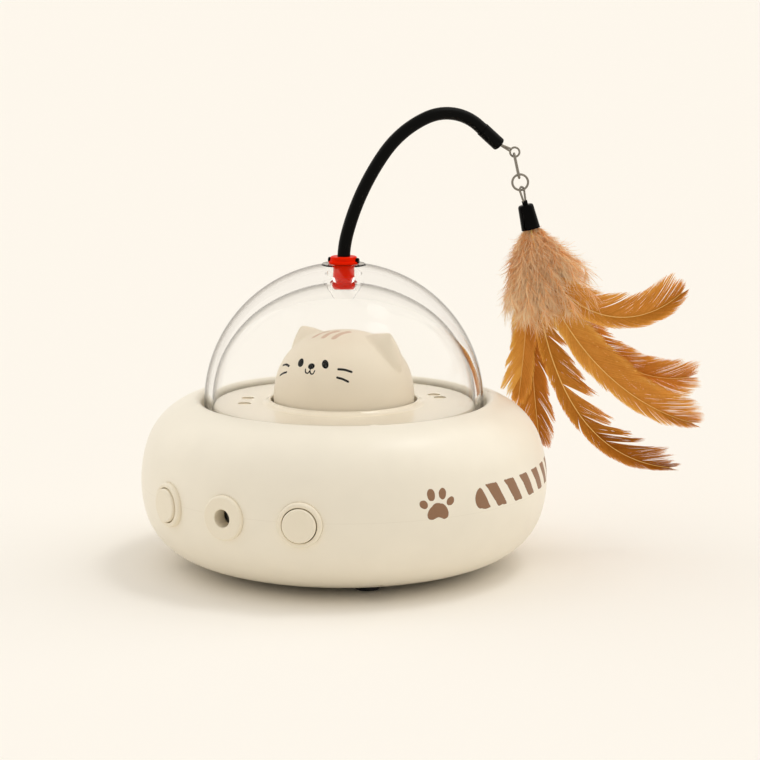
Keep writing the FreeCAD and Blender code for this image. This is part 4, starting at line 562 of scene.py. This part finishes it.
red_gloss = glossy("red_gloss", (255, 36, 2), 0.3, shine=0.02)
black_gloss = glossy("black_gloss", (3, 3, 3), 0.16, shine=0.05)
black_rubber = glossy("black_rubber", (7, 7, 6), 0.36, streak_mm=0.6, depth=0.008, shine=0.06)
foot_rubber = glossy("foot_rubber", (34, 33, 32), 0.7, streak_mm=0.4, depth=0.02)
board_green = glossy("board_green", (18, 86, 44), 0.35)
part_black = glossy("part_black", (24, 24, 25), 0.5)
cell_wrap = glossy("cell_wrap", (70, 78, 88), 0.28)
dress(red_gloss, "wand_plug")
dress(black_gloss, "plug_pins", "ferrule_cap")
dress(black_rubber, "wand_tube", "end_sleeve")
dress(foot_rubber, "rubber_feet")
dress(board_green, "switch_boards", "main_board")
dress(part_black, "tact_switches", "board_parts")
dress(cell_wrap, "battery_cells")

# %% [markdown]
# ## Metals
# Plated wire is bright but not a mirror: fine scratches change its roughness from place to place.

# %% Plated steel and brass
def metal(name, rgb, roughness, grain_mm=0.35, depth=0.004):
    """Plated metal: scratch noise of grain_mm moves its roughness, and bumps it by depth."""
    material, tree, shader = finish_of(name, Metallic=1.0)
    scratch = speckle(tree, grain_mm, 4.0, 0.7)
    link(shader, "Base Color", mix_colour(tree, scratch, *around(rgb, 0.14, 0.08)))
    link(shader, "Roughness", scratch * 0.22 + (roughness - 0.11))
    link(shader, "Normal", relief(tree, scratch, depth))
    return material


chain_plate = metal("chain_plate", (134, 129, 121), 0.2)
screw_plate = metal("screw_plate", (190, 182, 168), 0.34)
motor_plate = metal("motor_plate", (168, 168, 166), 0.38)
laser_brass = metal("laser_brass", (196, 160, 92), 0.3)
dress(chain_plate, "wand_eye", "chain_link", "chain_ring", "ferrule_loop")
dress(screw_plate, "housing_screws", "door_screw", "chassis_screws", "clamp_screws", "ring_screws",
      "head_screws", "bracket_screws", "spindle_clip", "battery_contacts")
dress(metal("deck_screw_plate", (226, 214, 190), 0.5), "deck_screws")
dress(motor_plate, "gear_motor", "sweep_motor", "motor_shaft", "sweep_shaft", "head_spindle")
dress(laser_brass, "laser_module")

# %% [markdown]
# ## Printed marks
# The face, the stripes and the paw are pad-printed: a thin layer of ink that follows the plastic.
# They could be painted in the shader, but a mask on a curved side is hard to shape, and it blurs.
# Here each mark is a film of its own, worked out in two numbers on the skin: the angle round the
# toy from its front, and the height. A mark is a middle line with a half width at each point.

# %% From (angle, height) to a point just above the skin
INK, SUNK = 0.07, 0.03


def on_skin(side, angle, z, lift):
    """Point at an angle (degrees, from front to right) and height z (mm), lifted off the skin."""
    radius, tilt = side(z)
    a = np.radians(angle)
    r = radius + lift * np.cos(tilt)
    return np.stack([r * np.sin(a), -r * np.cos(a), z + lift * np.sin(tilt)], axis=-1)


def film_mesh(name, grids, body):
    """Joins grids of points (rows, columns, 3) into one piece of quads; smooth, faces outward."""
    verts, faces, start = [], [], 0
    for grid in grids:
        rows, columns = grid.shape[:2]
        index = start + np.arange(rows * columns).reshape(rows, columns)
        quads = [index[:-1, :-1], index[:-1, 1:], index[1:, 1:], index[1:, :-1]]
        quads = np.stack(quads, axis=-1).reshape(-1, 4)
        across = grid[:-1, 1:] - grid[:-1, :-1]
        along = grid[1:, :-1] - grid[:-1, :-1]
        facing = np.sum(np.cross(across, along) * (grid[:-1, :-1] * (1, 1, 0)), axis=-1).sum()
        faces.append(quads if facing > 0 else quads[:, ::-1])
        verts.append(grid.reshape(-1, 3))
        start += rows * columns
    mesh = bpy.data.meshes.new(name)
    mesh.from_pydata((np.concatenate(verts) * MM).tolist(), [], np.concatenate(faces).tolist())
    merge_points(mesh, 0.003)
    mesh.shade_smooth()
    piece = add_object(name, mesh)
    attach(piece, body)
    return piece


def through(p, t):
    """Catmull-Rom curve through points p, which wrap round, read at positions t from point 0."""
    k = t.astype(int)
    f = (t - k)[:, None]
    a, b, c, d = (p[(k + step) % len(p)] for step in (-1, 0, 1, 2))
    return 0.5 * (2 * b + (c - a) * f + (2 * a - 5 * b + 4 * c - d) * f ** 2
                  + (3 * b - a - 3 * c + d) * f ** 3)


def bent(points, count):
    """Smooth run of count points through a few, with one more in line at each end."""
    p = np.asarray(points, float)
    p = np.concatenate([[2 * p[0] - p[1]], p, [2 * p[-1] - p[-2]]])
    return through(p, 1 + np.linspace(0, len(p) - 3 - 1e-9, count))


def on_crown(x, y, lift):
    """Point of the head's skin above (x, y) in mm, lifted along the skin."""
    r = np.maximum(np.hypot(x, y), 0.01)
    z = HEAD_Z + np.interp(r, skull[0][::-1], skull[1][::-1])
    tilt = np.interp(r, skull[0][::-1], skull[2][::-1])
    out = 1 + lift * np.cos(tilt) / r
    return np.stack([x * out, y * out, z + lift * np.sin(tilt)], axis=-1)


def stroke(side, points, half, count=28):
    """Rounded line: cross lines of half width half * sqrt(1 - e^2), e running to 1 at each end.

    Angles are turned to millimetres along the skin at the line's middle, so that half is true.
    Without a side, the points are x and y in mm, seen from above. The film is lifted by
    INK * (1 - s^4) (1 - e^6) - SUNK, with s from -1 to 1 across it.
    """
    line = bent(points, count)
    per_mm = 1.0
    if side is not None:
        per_mm = 180 / math.pi / float(side(np.array([line[:, 1].mean()]))[0][0])
    flat = np.stack([line[:, 0] / per_mm, line[:, 1]], axis=1)
    run = np.concatenate([[0], np.cumsum(np.hypot(*np.diff(flat, axis=0).T))])
    quarter = np.linspace(0, math.pi / 2, 7)
    u = np.concatenate([-half * np.cos(quarter)[:-1], run, run[-1] + half * np.sin(quarter)[1:]])
    tangent = np.gradient(flat, axis=0)
    tangent /= np.linalg.norm(tangent, axis=1)[:, None]
    x = np.stack([np.interp(u, run, flat[:, k]) for k in (0, 1)], axis=1)
    way = np.stack([np.interp(u, run, tangent[:, k]) for k in (0, 1)], axis=1)
    x += way * (np.minimum(u, 0) + np.maximum(u - run[-1], 0))[:, None]
    e = np.clip(np.maximum(-u, u - run[-1]) / half, 0, 1)
    width = half * np.sqrt(np.maximum(1 - e ** 2, 0.0004))
    s = np.linspace(-1, 1, 9)
    normal = np.stack([-way[:, 1], way[:, 0]], axis=1)
    place = x[:, None, :] + normal[:, None, :] * (width[:, None] * s)[:, :, None]
    lift = INK * (1 - s[None, :] ** 4) * (1 - e[:, None] ** 6) - SUNK
    if side is None:
        return on_crown(place[..., 0], place[..., 1], lift)
    return on_skin(side, place[..., 0] * per_mm, place[..., 1], lift)


def blob(side, centre, half_angle, half_z, slant=0.0):
    """Oval patch: rings s of (s cos t, s sin t) over the half sizes, its top moved aside by slant."""
    t = np.linspace(0, 2 * math.pi, 41)
    s = np.array([0.0, 0.35, 0.65, 0.85, 0.94, 1.0])
    x = np.outer(s, np.cos(t))
    y = np.outer(s, np.sin(t))
    lift = INK * (1 - s ** 4)[:, None] - SUNK
    return on_skin(side, centre[0] + half_angle * x + slant * y, centre[1] + half_z * y, lift)


def patch(side, outline, count=72):
    """Patch inside a closed outline: rings centre + s (outline - centre)."""
    p = np.asarray(outline, float)
    rim = through(p, np.linspace(0, len(p), count + 1) % len(p))
    s = np.array([0.0, 0.3, 0.6, 0.84, 0.94, 1.0])[:, None, None]
    place = p.mean(axis=0) + s * (rim - p.mean(axis=0))
    lift = INK * (1 - s[..., 0] ** 6) - SUNK
    return on_skin(side, place[..., 0], place[..., 1], lift)


def four_sided(top_left, top_right, low_right, low_left, corner=0.18):
    """Outline with rounded corners: two points on each side, at corner of its length from its ends."""
    p = np.array([top_left, top_right, low_right, low_left], float)
    q = np.roll(p, -1, axis=0)
    cut = [p + (q - p) * f for f in (corner * 0.35, corner, 0.5, 1 - corner, 1 - corner * 0.35)]
    return np.stack(cut, axis=1).reshape(-1, 2)


# %% The cat's face and the stripes on its crown
face = [
    blob(head_side, (-12.4, 77.3), 4.3, 1.62, slant=-1.3),
    blob(head_side, (15.6, 77.6), 4.0, 1.66, slant=-1.2),
    blob(head_side, (1.8, 76.6), 4.1, 1.15),
    stroke(head_side, [(1.7, 75.8), (1.6, 74.6)], 0.24, count=6),
    stroke(head_side, [(-3.6, 75.4), (-2.4, 74.4), (0.2, 74.2), (1.6, 75.0), (3.4, 74.1),
                       (5.6, 74.2), (6.6, 75.2)], 0.28, count=40),
    stroke(head_side, [(28.9, 76.1), (34.8, 75.9), (40.7, 75.2)], 0.46),
    stroke(head_side, [(28.2, 73.3), (32.8, 72.8), (37.4, 71.9)], 0.46),
    stroke(head_side, [(-41.1, 74.9), (-34.0, 75.6), (-27.3, 75.4)], 0.44),
    stroke(head_side, [(-38.0, 71.4), (-32.6, 72.5), (-27.2, 73.2)], 0.44),
]
face_marks = film_mesh("face_print", face, "head_unit")
crown_lines = [
    stroke(None, [(-6.75, -9.22), (-6.01, -5.81), (-4.44, -4.38)], 1.0),
    stroke(None, [(-1.93, -10.14), (-1.83, -6.93), (-0.67, -3.47)], 1.2),
    stroke(None, [(2.46, -10.02), (2.57, -6.69), (3.59, -2.42)], 1.2),
]
film_mesh("crown_stripes", crown_lines, "head_unit")
print("face films:", len(face), "faces:", len(face_marks.data.polygons))

# %% The paw on the side of the body, and the banded tail that curls round it
PAD = [(59.7, 37.15), (61.1, 36.8), (62.3, 35.3), (62.95, 33.4), (62.7, 31.75),
       (61.6, 31.1), (60.6, 31.55), (59.7, 31.95), (58.8, 31.6), (57.8, 31.15),
       (56.75, 31.8), (56.45, 33.4), (57.1, 35.3), (58.3, 36.8)]
paw = [
    blob(body_side, (55.5, 36.9), 1.23, 1.65, slant=-0.25),
    blob(body_side, (57.8, 39.9), 1.19, 2.27, slant=-0.1),
    blob(body_side, (61.2, 39.95), 1.17, 2.06, slant=0.1),
    blob(body_side, (63.5, 37.2), 1.2, 1.65, slant=0.3),
    patch(body_side, PAD),
]
film_mesh("paw_print", paw, "base")
TIP = [(73.5, 40.2), (72.3, 38.9), (71.55, 36.7), (71.9, 34.4), (73.1, 32.8), (75.2, 32.25),
       (77.2, 32.35), (76.9, 33.6), (76.0, 35.9), (75.0, 38.2), (74.2, 39.9)]
TAIL_LOW, TAIL_HIGH = 32.2, 40.85
PITCH, BAND, LEAN, NARROWED, FIRST = 7.7, 4.6, 4.6, 0.6, 75.6
tail = [patch(body_side, TIP)]
for k in range(11):
    at = FIRST + k * PITCH
    low = at + LEAN
    tail.append(patch(body_side, four_sided((at, TAIL_HIGH), (at + BAND, TAIL_HIGH),
                                            (low + BAND - NARROWED, TAIL_LOW), (low, TAIL_LOW))))
tail_marks = film_mesh("tail_bands", tail, "base")
print("tail bands:", len(tail), "faces:", len(tail_marks.data.polygons))


# %% Ink
def ink(name, rgb, roughness, cloud=0.06):
    """Printed ink: slightly uneven cover, with a finer grain than the plastic under it."""
    material, tree, shader = finish_of(name, IOR=1.45, Specular_IOR_Level=0.2)
    cover = speckle(tree, 0.7, 3.0)
    link(shader, "Base Color", mix_colour(tree, cover, *around(rgb, cloud, cloud)))
    link(shader, "Roughness", roughness + (cover - 0.5) * 0.08)
    link(shader, "Normal", relief(tree, cover, 0.003))
    return material


dress(ink("face_ink", (5, 5, 5), 0.5), "face_print")
dress(ink("crown_ink", (208, 182, 162), 0.5), "crown_stripes")
dress(ink("paw_ink", (152, 116, 89), 0.42), "paw_print", "tail_bands")

# %% [markdown]
# ## Feathers
# A feather is a shaft with hundreds of fine barbs on each side, which part into tufts at the edge.
# Hair curves would show that in a render but not in an exported mesh, and a flat leaf with a
# picture would look cut from paper. So each barb is a thin ribbon of its own. A point of a barb
# is known by its way along the shaft and its distance from it, in the feather's own flat plane,
# and all the barbs of one side are worked out at once, as one array.

# %% Where the feathers hang, and how a feather's own plane is turned into the toy's frame
FAN_TURN = math.radians(33)
OUT_WAY = np.array([math.cos(FAN_TURN), math.sin(FAN_TURN), 0.0])
BACK_WAY = np.array([-math.sin(FAN_TURN), math.cos(FAN_TURN), 0.0])
UP_WAY = np.array([0.0, 0.0, 1.0])
CAP_MOUTH = np.array([45.787, 57.187, 121.184])


def hang(local, turn, lean, place):
    """Plane (x out, y back, z up) turned about z, leaned about x, set place back, under the cap."""
    t, s = math.radians(turn), math.radians(lean)
    x = local[..., 0] * math.cos(t) - local[..., 1] * math.sin(t)
    y = local[..., 0] * math.sin(t) + local[..., 1] * math.cos(t)
    z = local[..., 2]
    y, z = y * math.cos(s) - z * math.sin(s) + place, y * math.sin(s) + z * math.cos(s)
    return CAP_MOUTH + x[..., None] * OUT_WAY + y[..., None] * BACK_WAY + z[..., None] * UP_WAY


class Shaft:
    """Cubic curve from the origin through two bends to the tip, read by its length in mm."""

    def __init__(self, bends, count=400):
        t = np.linspace(0, 1, count)[:, None]
        p1, p2, p3 = [np.array([along, -down], float) for along, down in bends]
        self.spot = 3 * (1 - t) ** 2 * t * p1 + 3 * (1 - t) * t ** 2 * p2 + t ** 3 * p3
        step = np.linalg.norm(np.diff(self.spot, axis=0), axis=1)
        self.run = np.concatenate([[0], np.cumsum(step)])
        self.way = np.gradient(self.spot, self.run, axis=0)
        self.way /= np.linalg.norm(self.way, axis=1)[:, None]
        self.length = self.run[-1]

    def at(self, run, off, deep):
        """Point C(run) + off N(run), N a quarter turn from the curve's way; straight past the tip."""
        spot = np.stack([np.interp(run, self.run, self.spot[:, k]) for k in (0, 1)], axis=-1)
        way = np.stack([np.interp(run, self.run, self.way[:, k]) for k in (0, 1)], axis=-1)
        spot = spot + way * np.maximum(run - self.length, 0)[..., None]
        x, z = spot[..., 0] - off * way[..., 1], spot[..., 1] + off * way[..., 0]
        return np.stack([x, deep, z], axis=-1)


# %% All the barbs on one side of a feather: stations along a barb, and mm between barbs
STATIONS, SPACING = 8, 0.2
QUILL_FRONT, QUILL_TONE = 0.12, 0.93


def soft_step(low, high, x):
    """0 below low, 1 above high, and 3 f^2 - 2 f^3 between them."""
    f = np.clip((x - low) / (high - low), 0, 1)
    return f * f * (3 - 2 * f)


def barbs(shaft, side, half, tufts, split, tone, fade, seed):
    """Ribbons (barb, station, edge, 3) and their tones, for one side (+1 upper, -1 lower) of a shaft.

    With q from 0 at the shaft to 1, a the barb's angle to it and L its length, the run along the
    shaft is root + L cos a (q + 0.15 q^2) and the distance is L sin a (q - 0.15 q^2). Barbs gather
    in tufts: each is drawn to its tuft's middle by pinch q^2.2, and a tuft leans as one. The tone
    falls by fade from the first barb to the last.
    """
    rng = np.random.default_rng(seed)
    low, high = 0.24 * shaft.length, shaft.length - 1.5
    count = int((high - low) / SPACING)
    root = np.linspace(low, high, count) + rng.normal(0, 0.03, count)
    u = (root - low) / (high - low)
    leaf = soft_step(-0.35, 0.24, u) * (1 - 0.8 * soft_step(0.68, 1.02, u))
    angle = np.radians(np.interp(u, [0, 0.3, 0.75, 1], [47, 36, 29, 13]))
    cuts = (np.arange(1, tufts) + rng.uniform(-0.3, 0.3, tufts - 1)) / tufts
    bounds = np.sort(np.concatenate([[-0.01, 1.01], cuts]))
    tuft = np.searchsorted(bounds, u) - 1
    middle = 0.5 * (bounds[tuft] + bounds[tuft + 1])
    spread = (u - middle) / (0.5 * (bounds[tuft + 1] - bounds[tuft]))
    pinch = rng.uniform(0.02, 0.3, tufts)[tuft] * split
    angle = angle + np.radians(rng.normal(0, 2.4, tufts)[tuft] * split + rng.normal(0, 0.8, count))
    length = half * leaf / (np.sin(angle) * 0.85)
    length = np.minimum(length, (shaft.length + 3.0 - root) / (1.15 * np.cos(angle)))
    length = length * (1 + rng.normal(0, 0.07, tufts)[tuft] * split) * (1 - 0.16 * split * spread ** 2)
    length = length * (1 - 0.16 * rng.uniform(0, 1, count) ** 2)
    q = np.linspace(0, 1, STATIONS)[None, :]
    a = angle[:, None]
    reach = length[:, None]
    pull = (middle * (high - low) + low - root)[:, None]
    loose = rng.normal(0, 0.35, count)[:, None] * q ** 4
    run = root[:, None] + reach * np.cos(a) * (q + 0.15 * q ** 2)
    run = run + pull * (pinch[:, None] * q ** 2.2) + loose
    off = reach * np.sin(a) * (q - 0.15 * q ** 2)
    deep = 1.1 * (off / half) ** 2 + rng.normal(0, 0.35, tufts)[tuft][:, None] * split * q ** 2
    width = 2.0 * SPACING * np.sin(a) * (1 - 0.7 * soft_step(0.82, 1.0, q))
    edge = np.array([-0.5, 0.5])
    run = run[..., None] + (width * np.sin(a))[..., None] * edge
    off = side * (off[..., None] - (width * np.cos(a))[..., None] * edge)
    deep = deep[..., None] + 0.1 * edge * side
    tuft_tone = 0.06 * rng.normal(0, 1, tufts)[tuft][:, None] * split
    shade = tone + 0.07 + tuft_tone + rng.normal(0, 0.035, count)[:, None] + fade * (0.5 - u)[:, None]
    # Painted light: the outer ends of the barbs are made lighter, for light shining through the thin
    # edge of the vane. Next to the shaft the barbs are a little darker.
    shade = shade + 0.24 * soft_step(0.6, 1.0, q) - 0.06 * (1 - soft_step(0.0, 0.2, q))
    return shaft.at(run, off, deep), np.repeat(shade[..., None], 2, axis=-1)


def quill(shaft, thick=0.3, fine=0.07, count=48, sides=6):
    """Tapered tube on the shaft with closed ends: rings of radius r(run), falling towards the tip."""
    run = np.concatenate([[0], np.linspace(0, shaft.length, count), [shaft.length + 0.3]])[:, None]
    a = np.linspace(0, 2 * math.pi, sides, endpoint=False)[None, :]
    r = thick + (fine - thick) * run / shaft.length
    r[[0, -1]] = 0.0
    return shaft.at(run + 0 * a, r * np.cos(a), r * np.sin(a) - QUILL_FRONT)


# %% One mesh for each feather, with its tones as an attribute
def strip_faces(count, stations, start):
    """Quads of ribbons laid out as (ribbon, station, edge)."""
    index = start + np.arange(count * stations * 2).reshape(count, stations, 2)
    corners = [index[:, :-1, 0], index[:, :-1, 1], index[:, 1:, 1], index[:, 1:, 0]]
    return np.stack(corners, axis=-1).reshape(-1, 4)


def toned_mesh(name, verts, faces, tones, body):
    """Mesh from arrays (mm), with a point attribute 'tone' that its material reads."""
    mesh = bpy.data.meshes.new(name)
    mesh.from_pydata((verts * MM).tolist(), [], faces.tolist())
    layer = mesh.attributes.new("tone", "FLOAT", "POINT")
    layer.data.foreach_set("value", tones.astype(np.float32))
    merge_points(mesh, 0.0001)
    mesh.shade_smooth()
    piece = add_object(name, mesh)
    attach(piece, body)
    return piece


def feather(name, node, bends, half, hung, tufts, split, tone, fade, seed):
    """Barbs above and below a shaft, and its quill; hung is the feather's turn, lean and place."""
    shaft = Shaft(bends)
    parts, tones, faces, start = [], [], [], 0
    for k, side in enumerate((1, -1)):
        points, shade = barbs(shaft, side, half[k], tufts[k], split[k], tone[k], fade, seed + k)
        parts.append(points.reshape(-1, 3))
        tones.append(shade.ravel())
        faces.append(strip_faces(points.shape[0], STATIONS, start))
        start += parts[-1].shape[0]
    rings = quill(shaft)
    rows, sides = rings.shape[:2]
    index = start + np.arange(rows * sides).reshape(rows, sides)
    beside = np.roll(index, -1, axis=1)
    faces.append(np.stack([index[:-1], beside[:-1], beside[1:], index[1:]], axis=-1).reshape(-1, 4))
    parts.append(rings.reshape(-1, 3))
    tones.append(np.full(rows * sides, QUILL_TONE))
    verts = hang(np.concatenate(parts), *hung)
    piece = toned_mesh(name, verts, np.concatenate(faces), np.concatenate(tones), "lure")
    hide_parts(node)
    return piece


BEHIND = 18.92
plumage = [
    feather("feather_top", "feather_1", ((4, 26), (34, 44), (57.5, 21)), (9.0, 4.8), (-16, 0, -2.2),
            (6, 5), (0.5, 0.4), (0.52, 0.42), 0.2, 11),
    feather("feather_low_out", "feather_2", ((3, 26), (26, 64), (62, 72)), (9.0, 5.0), (-8, 0, -1.45),
            (5, 6), (0.4, 0.6), (0.55, 0.5), 0.16, 21),
    feather("feather_high_out", "feather_3", ((6, 24), (28, 62), (61, 56)), (7.5, 8.0), (0, 0, -0.7),
            (6, 5), (0.45, 0.5), (0.5, 0.56), 0.1, 31),
    feather("feather_down_out", "feather_4", ((2, 30), (9, 88), (56, 93)), (8.5, 4.0), (8, 0, 0.05),
            (16, 6), (1.5, 0.5), (0.38, 0.3), 0.3, 41),
    feather("feather_short", "feather_5", ((0, 22), (-0.6, 46), (-3, 71)), (6.0, 6.0),
            (14, BEHIND - 1.6, 1.2), (6, 7), (0.8, 1.2), (0.5, 0.62), 0.1, 51),
    feather("feather_long", "feather_6", ((0, 28), (1.5, 62), (6.5, 94)), (7.5, 8.5),
            (14, BEHIND, 2.2), (7, 6), (0.8, 0.8), (0.4, 0.44), 0.36, 61),
]
print("feather faces:", [len(piece.data.polygons) for piece in plumage])

# %% Feather finish: the tone picks the brown, and fine streaks keep it from looking even
feather_finish, tree, shader = finish_of("feather_barbs", IOR=1.45, Specular_IOR_Level=0.12)
tone_in = add_node(tree, "ShaderNodeAttribute", {"attribute_name": "tone"}, output=2)
streak = speckle(tree, 0.8, 3.0)
tone_in = tone_in + (streak - 0.5) * 0.16
brown = add_node(tree, "ShaderNodeValToRGB", {"stops": [
    (0.0, paint(138, 74, 10)), (1.0, paint(255, 218, 140)), (0.25, paint(180, 104, 22)),
    (0.45, paint(212, 138, 50)), (0.62, paint(238, 164, 72)), (0.8, paint(255, 194, 92))]},
    {0: tone_in})
link(shader, "Base Color", brown)
link(shader, "Roughness", 0.5 + (streak - 0.5) * 0.12)
link(shader, "Normal", relief(tree, streak, 0.01))
for piece in plumage:
    piece.data.materials.append(feather_finish)

# %% [markdown]
# ## The tuft of down
# Down is a bunch of soft plumes, each a thin stem whose barbs are so fine that they curl and float
# apart. A particle system would need baking, so the plumes are worked out as arrays too: a bent
# stem for each plume, and on it barbs that stand off in all directions and droop.

# %% Plumes from the mouth of the cap, kept inside the tuft's outline
def longest(theta):
    """Reach of the tuft in mm at theta degrees from its middle line, in the feathers' plane."""
    return np.interp(theta, [-92, -56, -48, -37, -33, -10, 0, 25, 35, 40, 46, 60, 80],
                     [5, 10, 15, 22, 35, 40, 36, 42, 38, 22, 15, 12, 9])


# A stem ends BARB_ROOM mm inside the outline, and the tuft's middle line leans out by MIDDLE_LEAN
# degrees. Stems start on a ring of MOUTH_R mm, INSIDE_CAP mm up inside the cap.
BARB_ROOM, MIDDLE_LEAN = 4.5, 14
MOUTH_R, INSIDE_CAP = 2.1, 1.5


def down_tuft(name, node, plumes=240, per_plume=96, bits=4, seed=7):
    """Ribbons of all the barbs: stem point S(w) + span (D q + (curl + droop) q^2), q from 0 to 1.

    Stem: a cubic from the cap's mouth whose tip is at (theta, reach) round the tuft's middle line.
    A barb sets off along D = cos a T + sin a (cos g A + sin g B), with T the stem's way there and
    A and B across it.
    """
    rng = np.random.default_rng(seed)
    theta = np.clip(rng.normal(2, 25, plumes), -64, 70)
    reach = np.maximum(longest(theta) - BARB_ROOM, 3.0)
    reach = reach * (1.04 - 0.75 * rng.uniform(0, 1, plumes) ** 0.9)
    tip_angle = np.radians(theta + MIDDLE_LEAN)
    sway = rng.normal(0, 0.16, plumes)
    ring = rng.uniform(0, 2 * math.pi, plumes)
    high = np.full(plumes, INSIDE_CAP)
    start = np.stack([MOUTH_R * np.cos(ring), MOUTH_R * np.sin(ring), high], axis=1)
    aside = rng.uniform(-0.34, 0.16, plumes)
    tip = reach[:, None] * np.stack([np.sin(tip_angle), aside, -np.cos(tip_angle)], axis=1)
    mouth_way = np.stack([np.sin(tip_angle * 0.45), sway * 0.3, -np.cos(tip_angle * 0.45)], axis=1)
    bend = tip + reach[:, None] * (rng.normal(0, 0.09, (plumes, 3)) - 0.21 * mouth_way)
    p1 = start + 0.42 * reach[:, None] * mouth_way
    w = rng.uniform(0.08, 1.0, (plumes, per_plume)) ** 0.85
    w[:, : per_plume // 8] = np.linspace(0.86, 1.0, per_plume // 8)
    c = w[..., None]
    stem = ((1 - c) ** 3 * start[:, None] + 3 * (1 - c) ** 2 * c * p1[:, None]
            + 3 * (1 - c) * c ** 2 * bend[:, None] + c ** 3 * tip[:, None])
    way = (3 * (1 - c) ** 2 * (p1 - start)[:, None] + 6 * (1 - c) * c * (bend - p1)[:, None]
           + 3 * c ** 2 * (tip - bend)[:, None])
    way /= np.linalg.norm(way, axis=-1, keepdims=True)
    one = np.cross(way, np.array([0.3, 1.0, 0.2]))
    one /= np.linalg.norm(one, axis=-1, keepdims=True)
    two = np.cross(way, one)
    g = rng.uniform(0, 2 * math.pi, w.shape)[..., None]
    a = np.radians(rng.uniform(18, 62, w.shape) * (1 - 0.5 * w ** 3))[..., None]
    set_off = np.cos(a) * way + np.sin(a) * (np.cos(g) * one + np.sin(g) * two)
    span = rng.uniform(3.2, 7.4, w.shape) * np.clip(reach / 14, 0.42, 1)[:, None]
    span = (span * (0.35 + 0.65 * soft_step(0, 0.5, w)))[..., None, None]
    q = np.linspace(0, 1, bits)[:, None]
    curl = np.cross(set_off, rng.normal(0, 1, set_off.shape)) * 0.22
    droop = np.array([0.05, 0.0, -0.16])
    arch = set_off[..., None, :] * q + (curl + droop)[..., None, :] * q ** 2
    line = stem[..., None, :] + span * arch
    broad = np.cross(set_off, np.array([0.0, 1.0, 0.0]) + rng.normal(0, 0.5, set_off.shape))
    broad /= np.linalg.norm(broad, axis=-1, keepdims=True)
    half = rng.uniform(0.05, 0.12, w.shape)[..., None, None] * (1 - 0.7 * q)
    edges = np.array([-1.0, 1.0])[:, None]
    ribbon = line[..., None, :] + (broad[..., None, :] * half)[..., None, :] * edges
    tone = 0.5 + 0.12 * rng.normal(0, 1, plumes)[:, None] + 0.17 * rng.normal(0, 1, w.shape)
    # Painted shade: plumes that lie further back in the tuft are made darker, where those in front
    # shade them. The tone also rises towards each stem's tip, and along each barb below.
    tone = tone + 0.16 * (w - 0.5) + 0.12 * np.clip(-stem[..., 1] / 6, -1, 1)
    tone = tone[..., None] + 0.25 * np.linspace(0, 1, bits)
    tones = np.repeat(tone.reshape(-1, 1), 2, axis=-1)
    verts = hang(ribbon.reshape(-1, 3), 0, 0, 0)
    faces = strip_faces(plumes * per_plume, bits, 0)
    piece = toned_mesh(name, verts, faces, tones.ravel(), "lure")
    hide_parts(node)
    return piece


down = down_tuft("down_tuft", "fluff")
print("down faces:", len(down.data.polygons))

# %% Finish of the down
down_finish, tree, shader = finish_of("down_barbs", IOR=1.4, Roughness=0.7, Specular_IOR_Level=0.05)
tone_in = add_node(tree, "ShaderNodeAttribute", {"attribute_name": "tone"}, output=2)
fuzz = speckle(tree, 1.6, 2.0)
tan = add_node(tree, "ShaderNodeValToRGB", {"stops": [
    (0.0, paint(214, 128, 60)), (1.0, paint(255, 232, 194)), (0.3, paint(250, 170, 102)),
    (0.6, paint(255, 204, 146))]},
    {0: tone_in + (fuzz - 0.5) * 0.2})
link(shader, "Base Color", tan)
down.data.materials.append(down_finish)
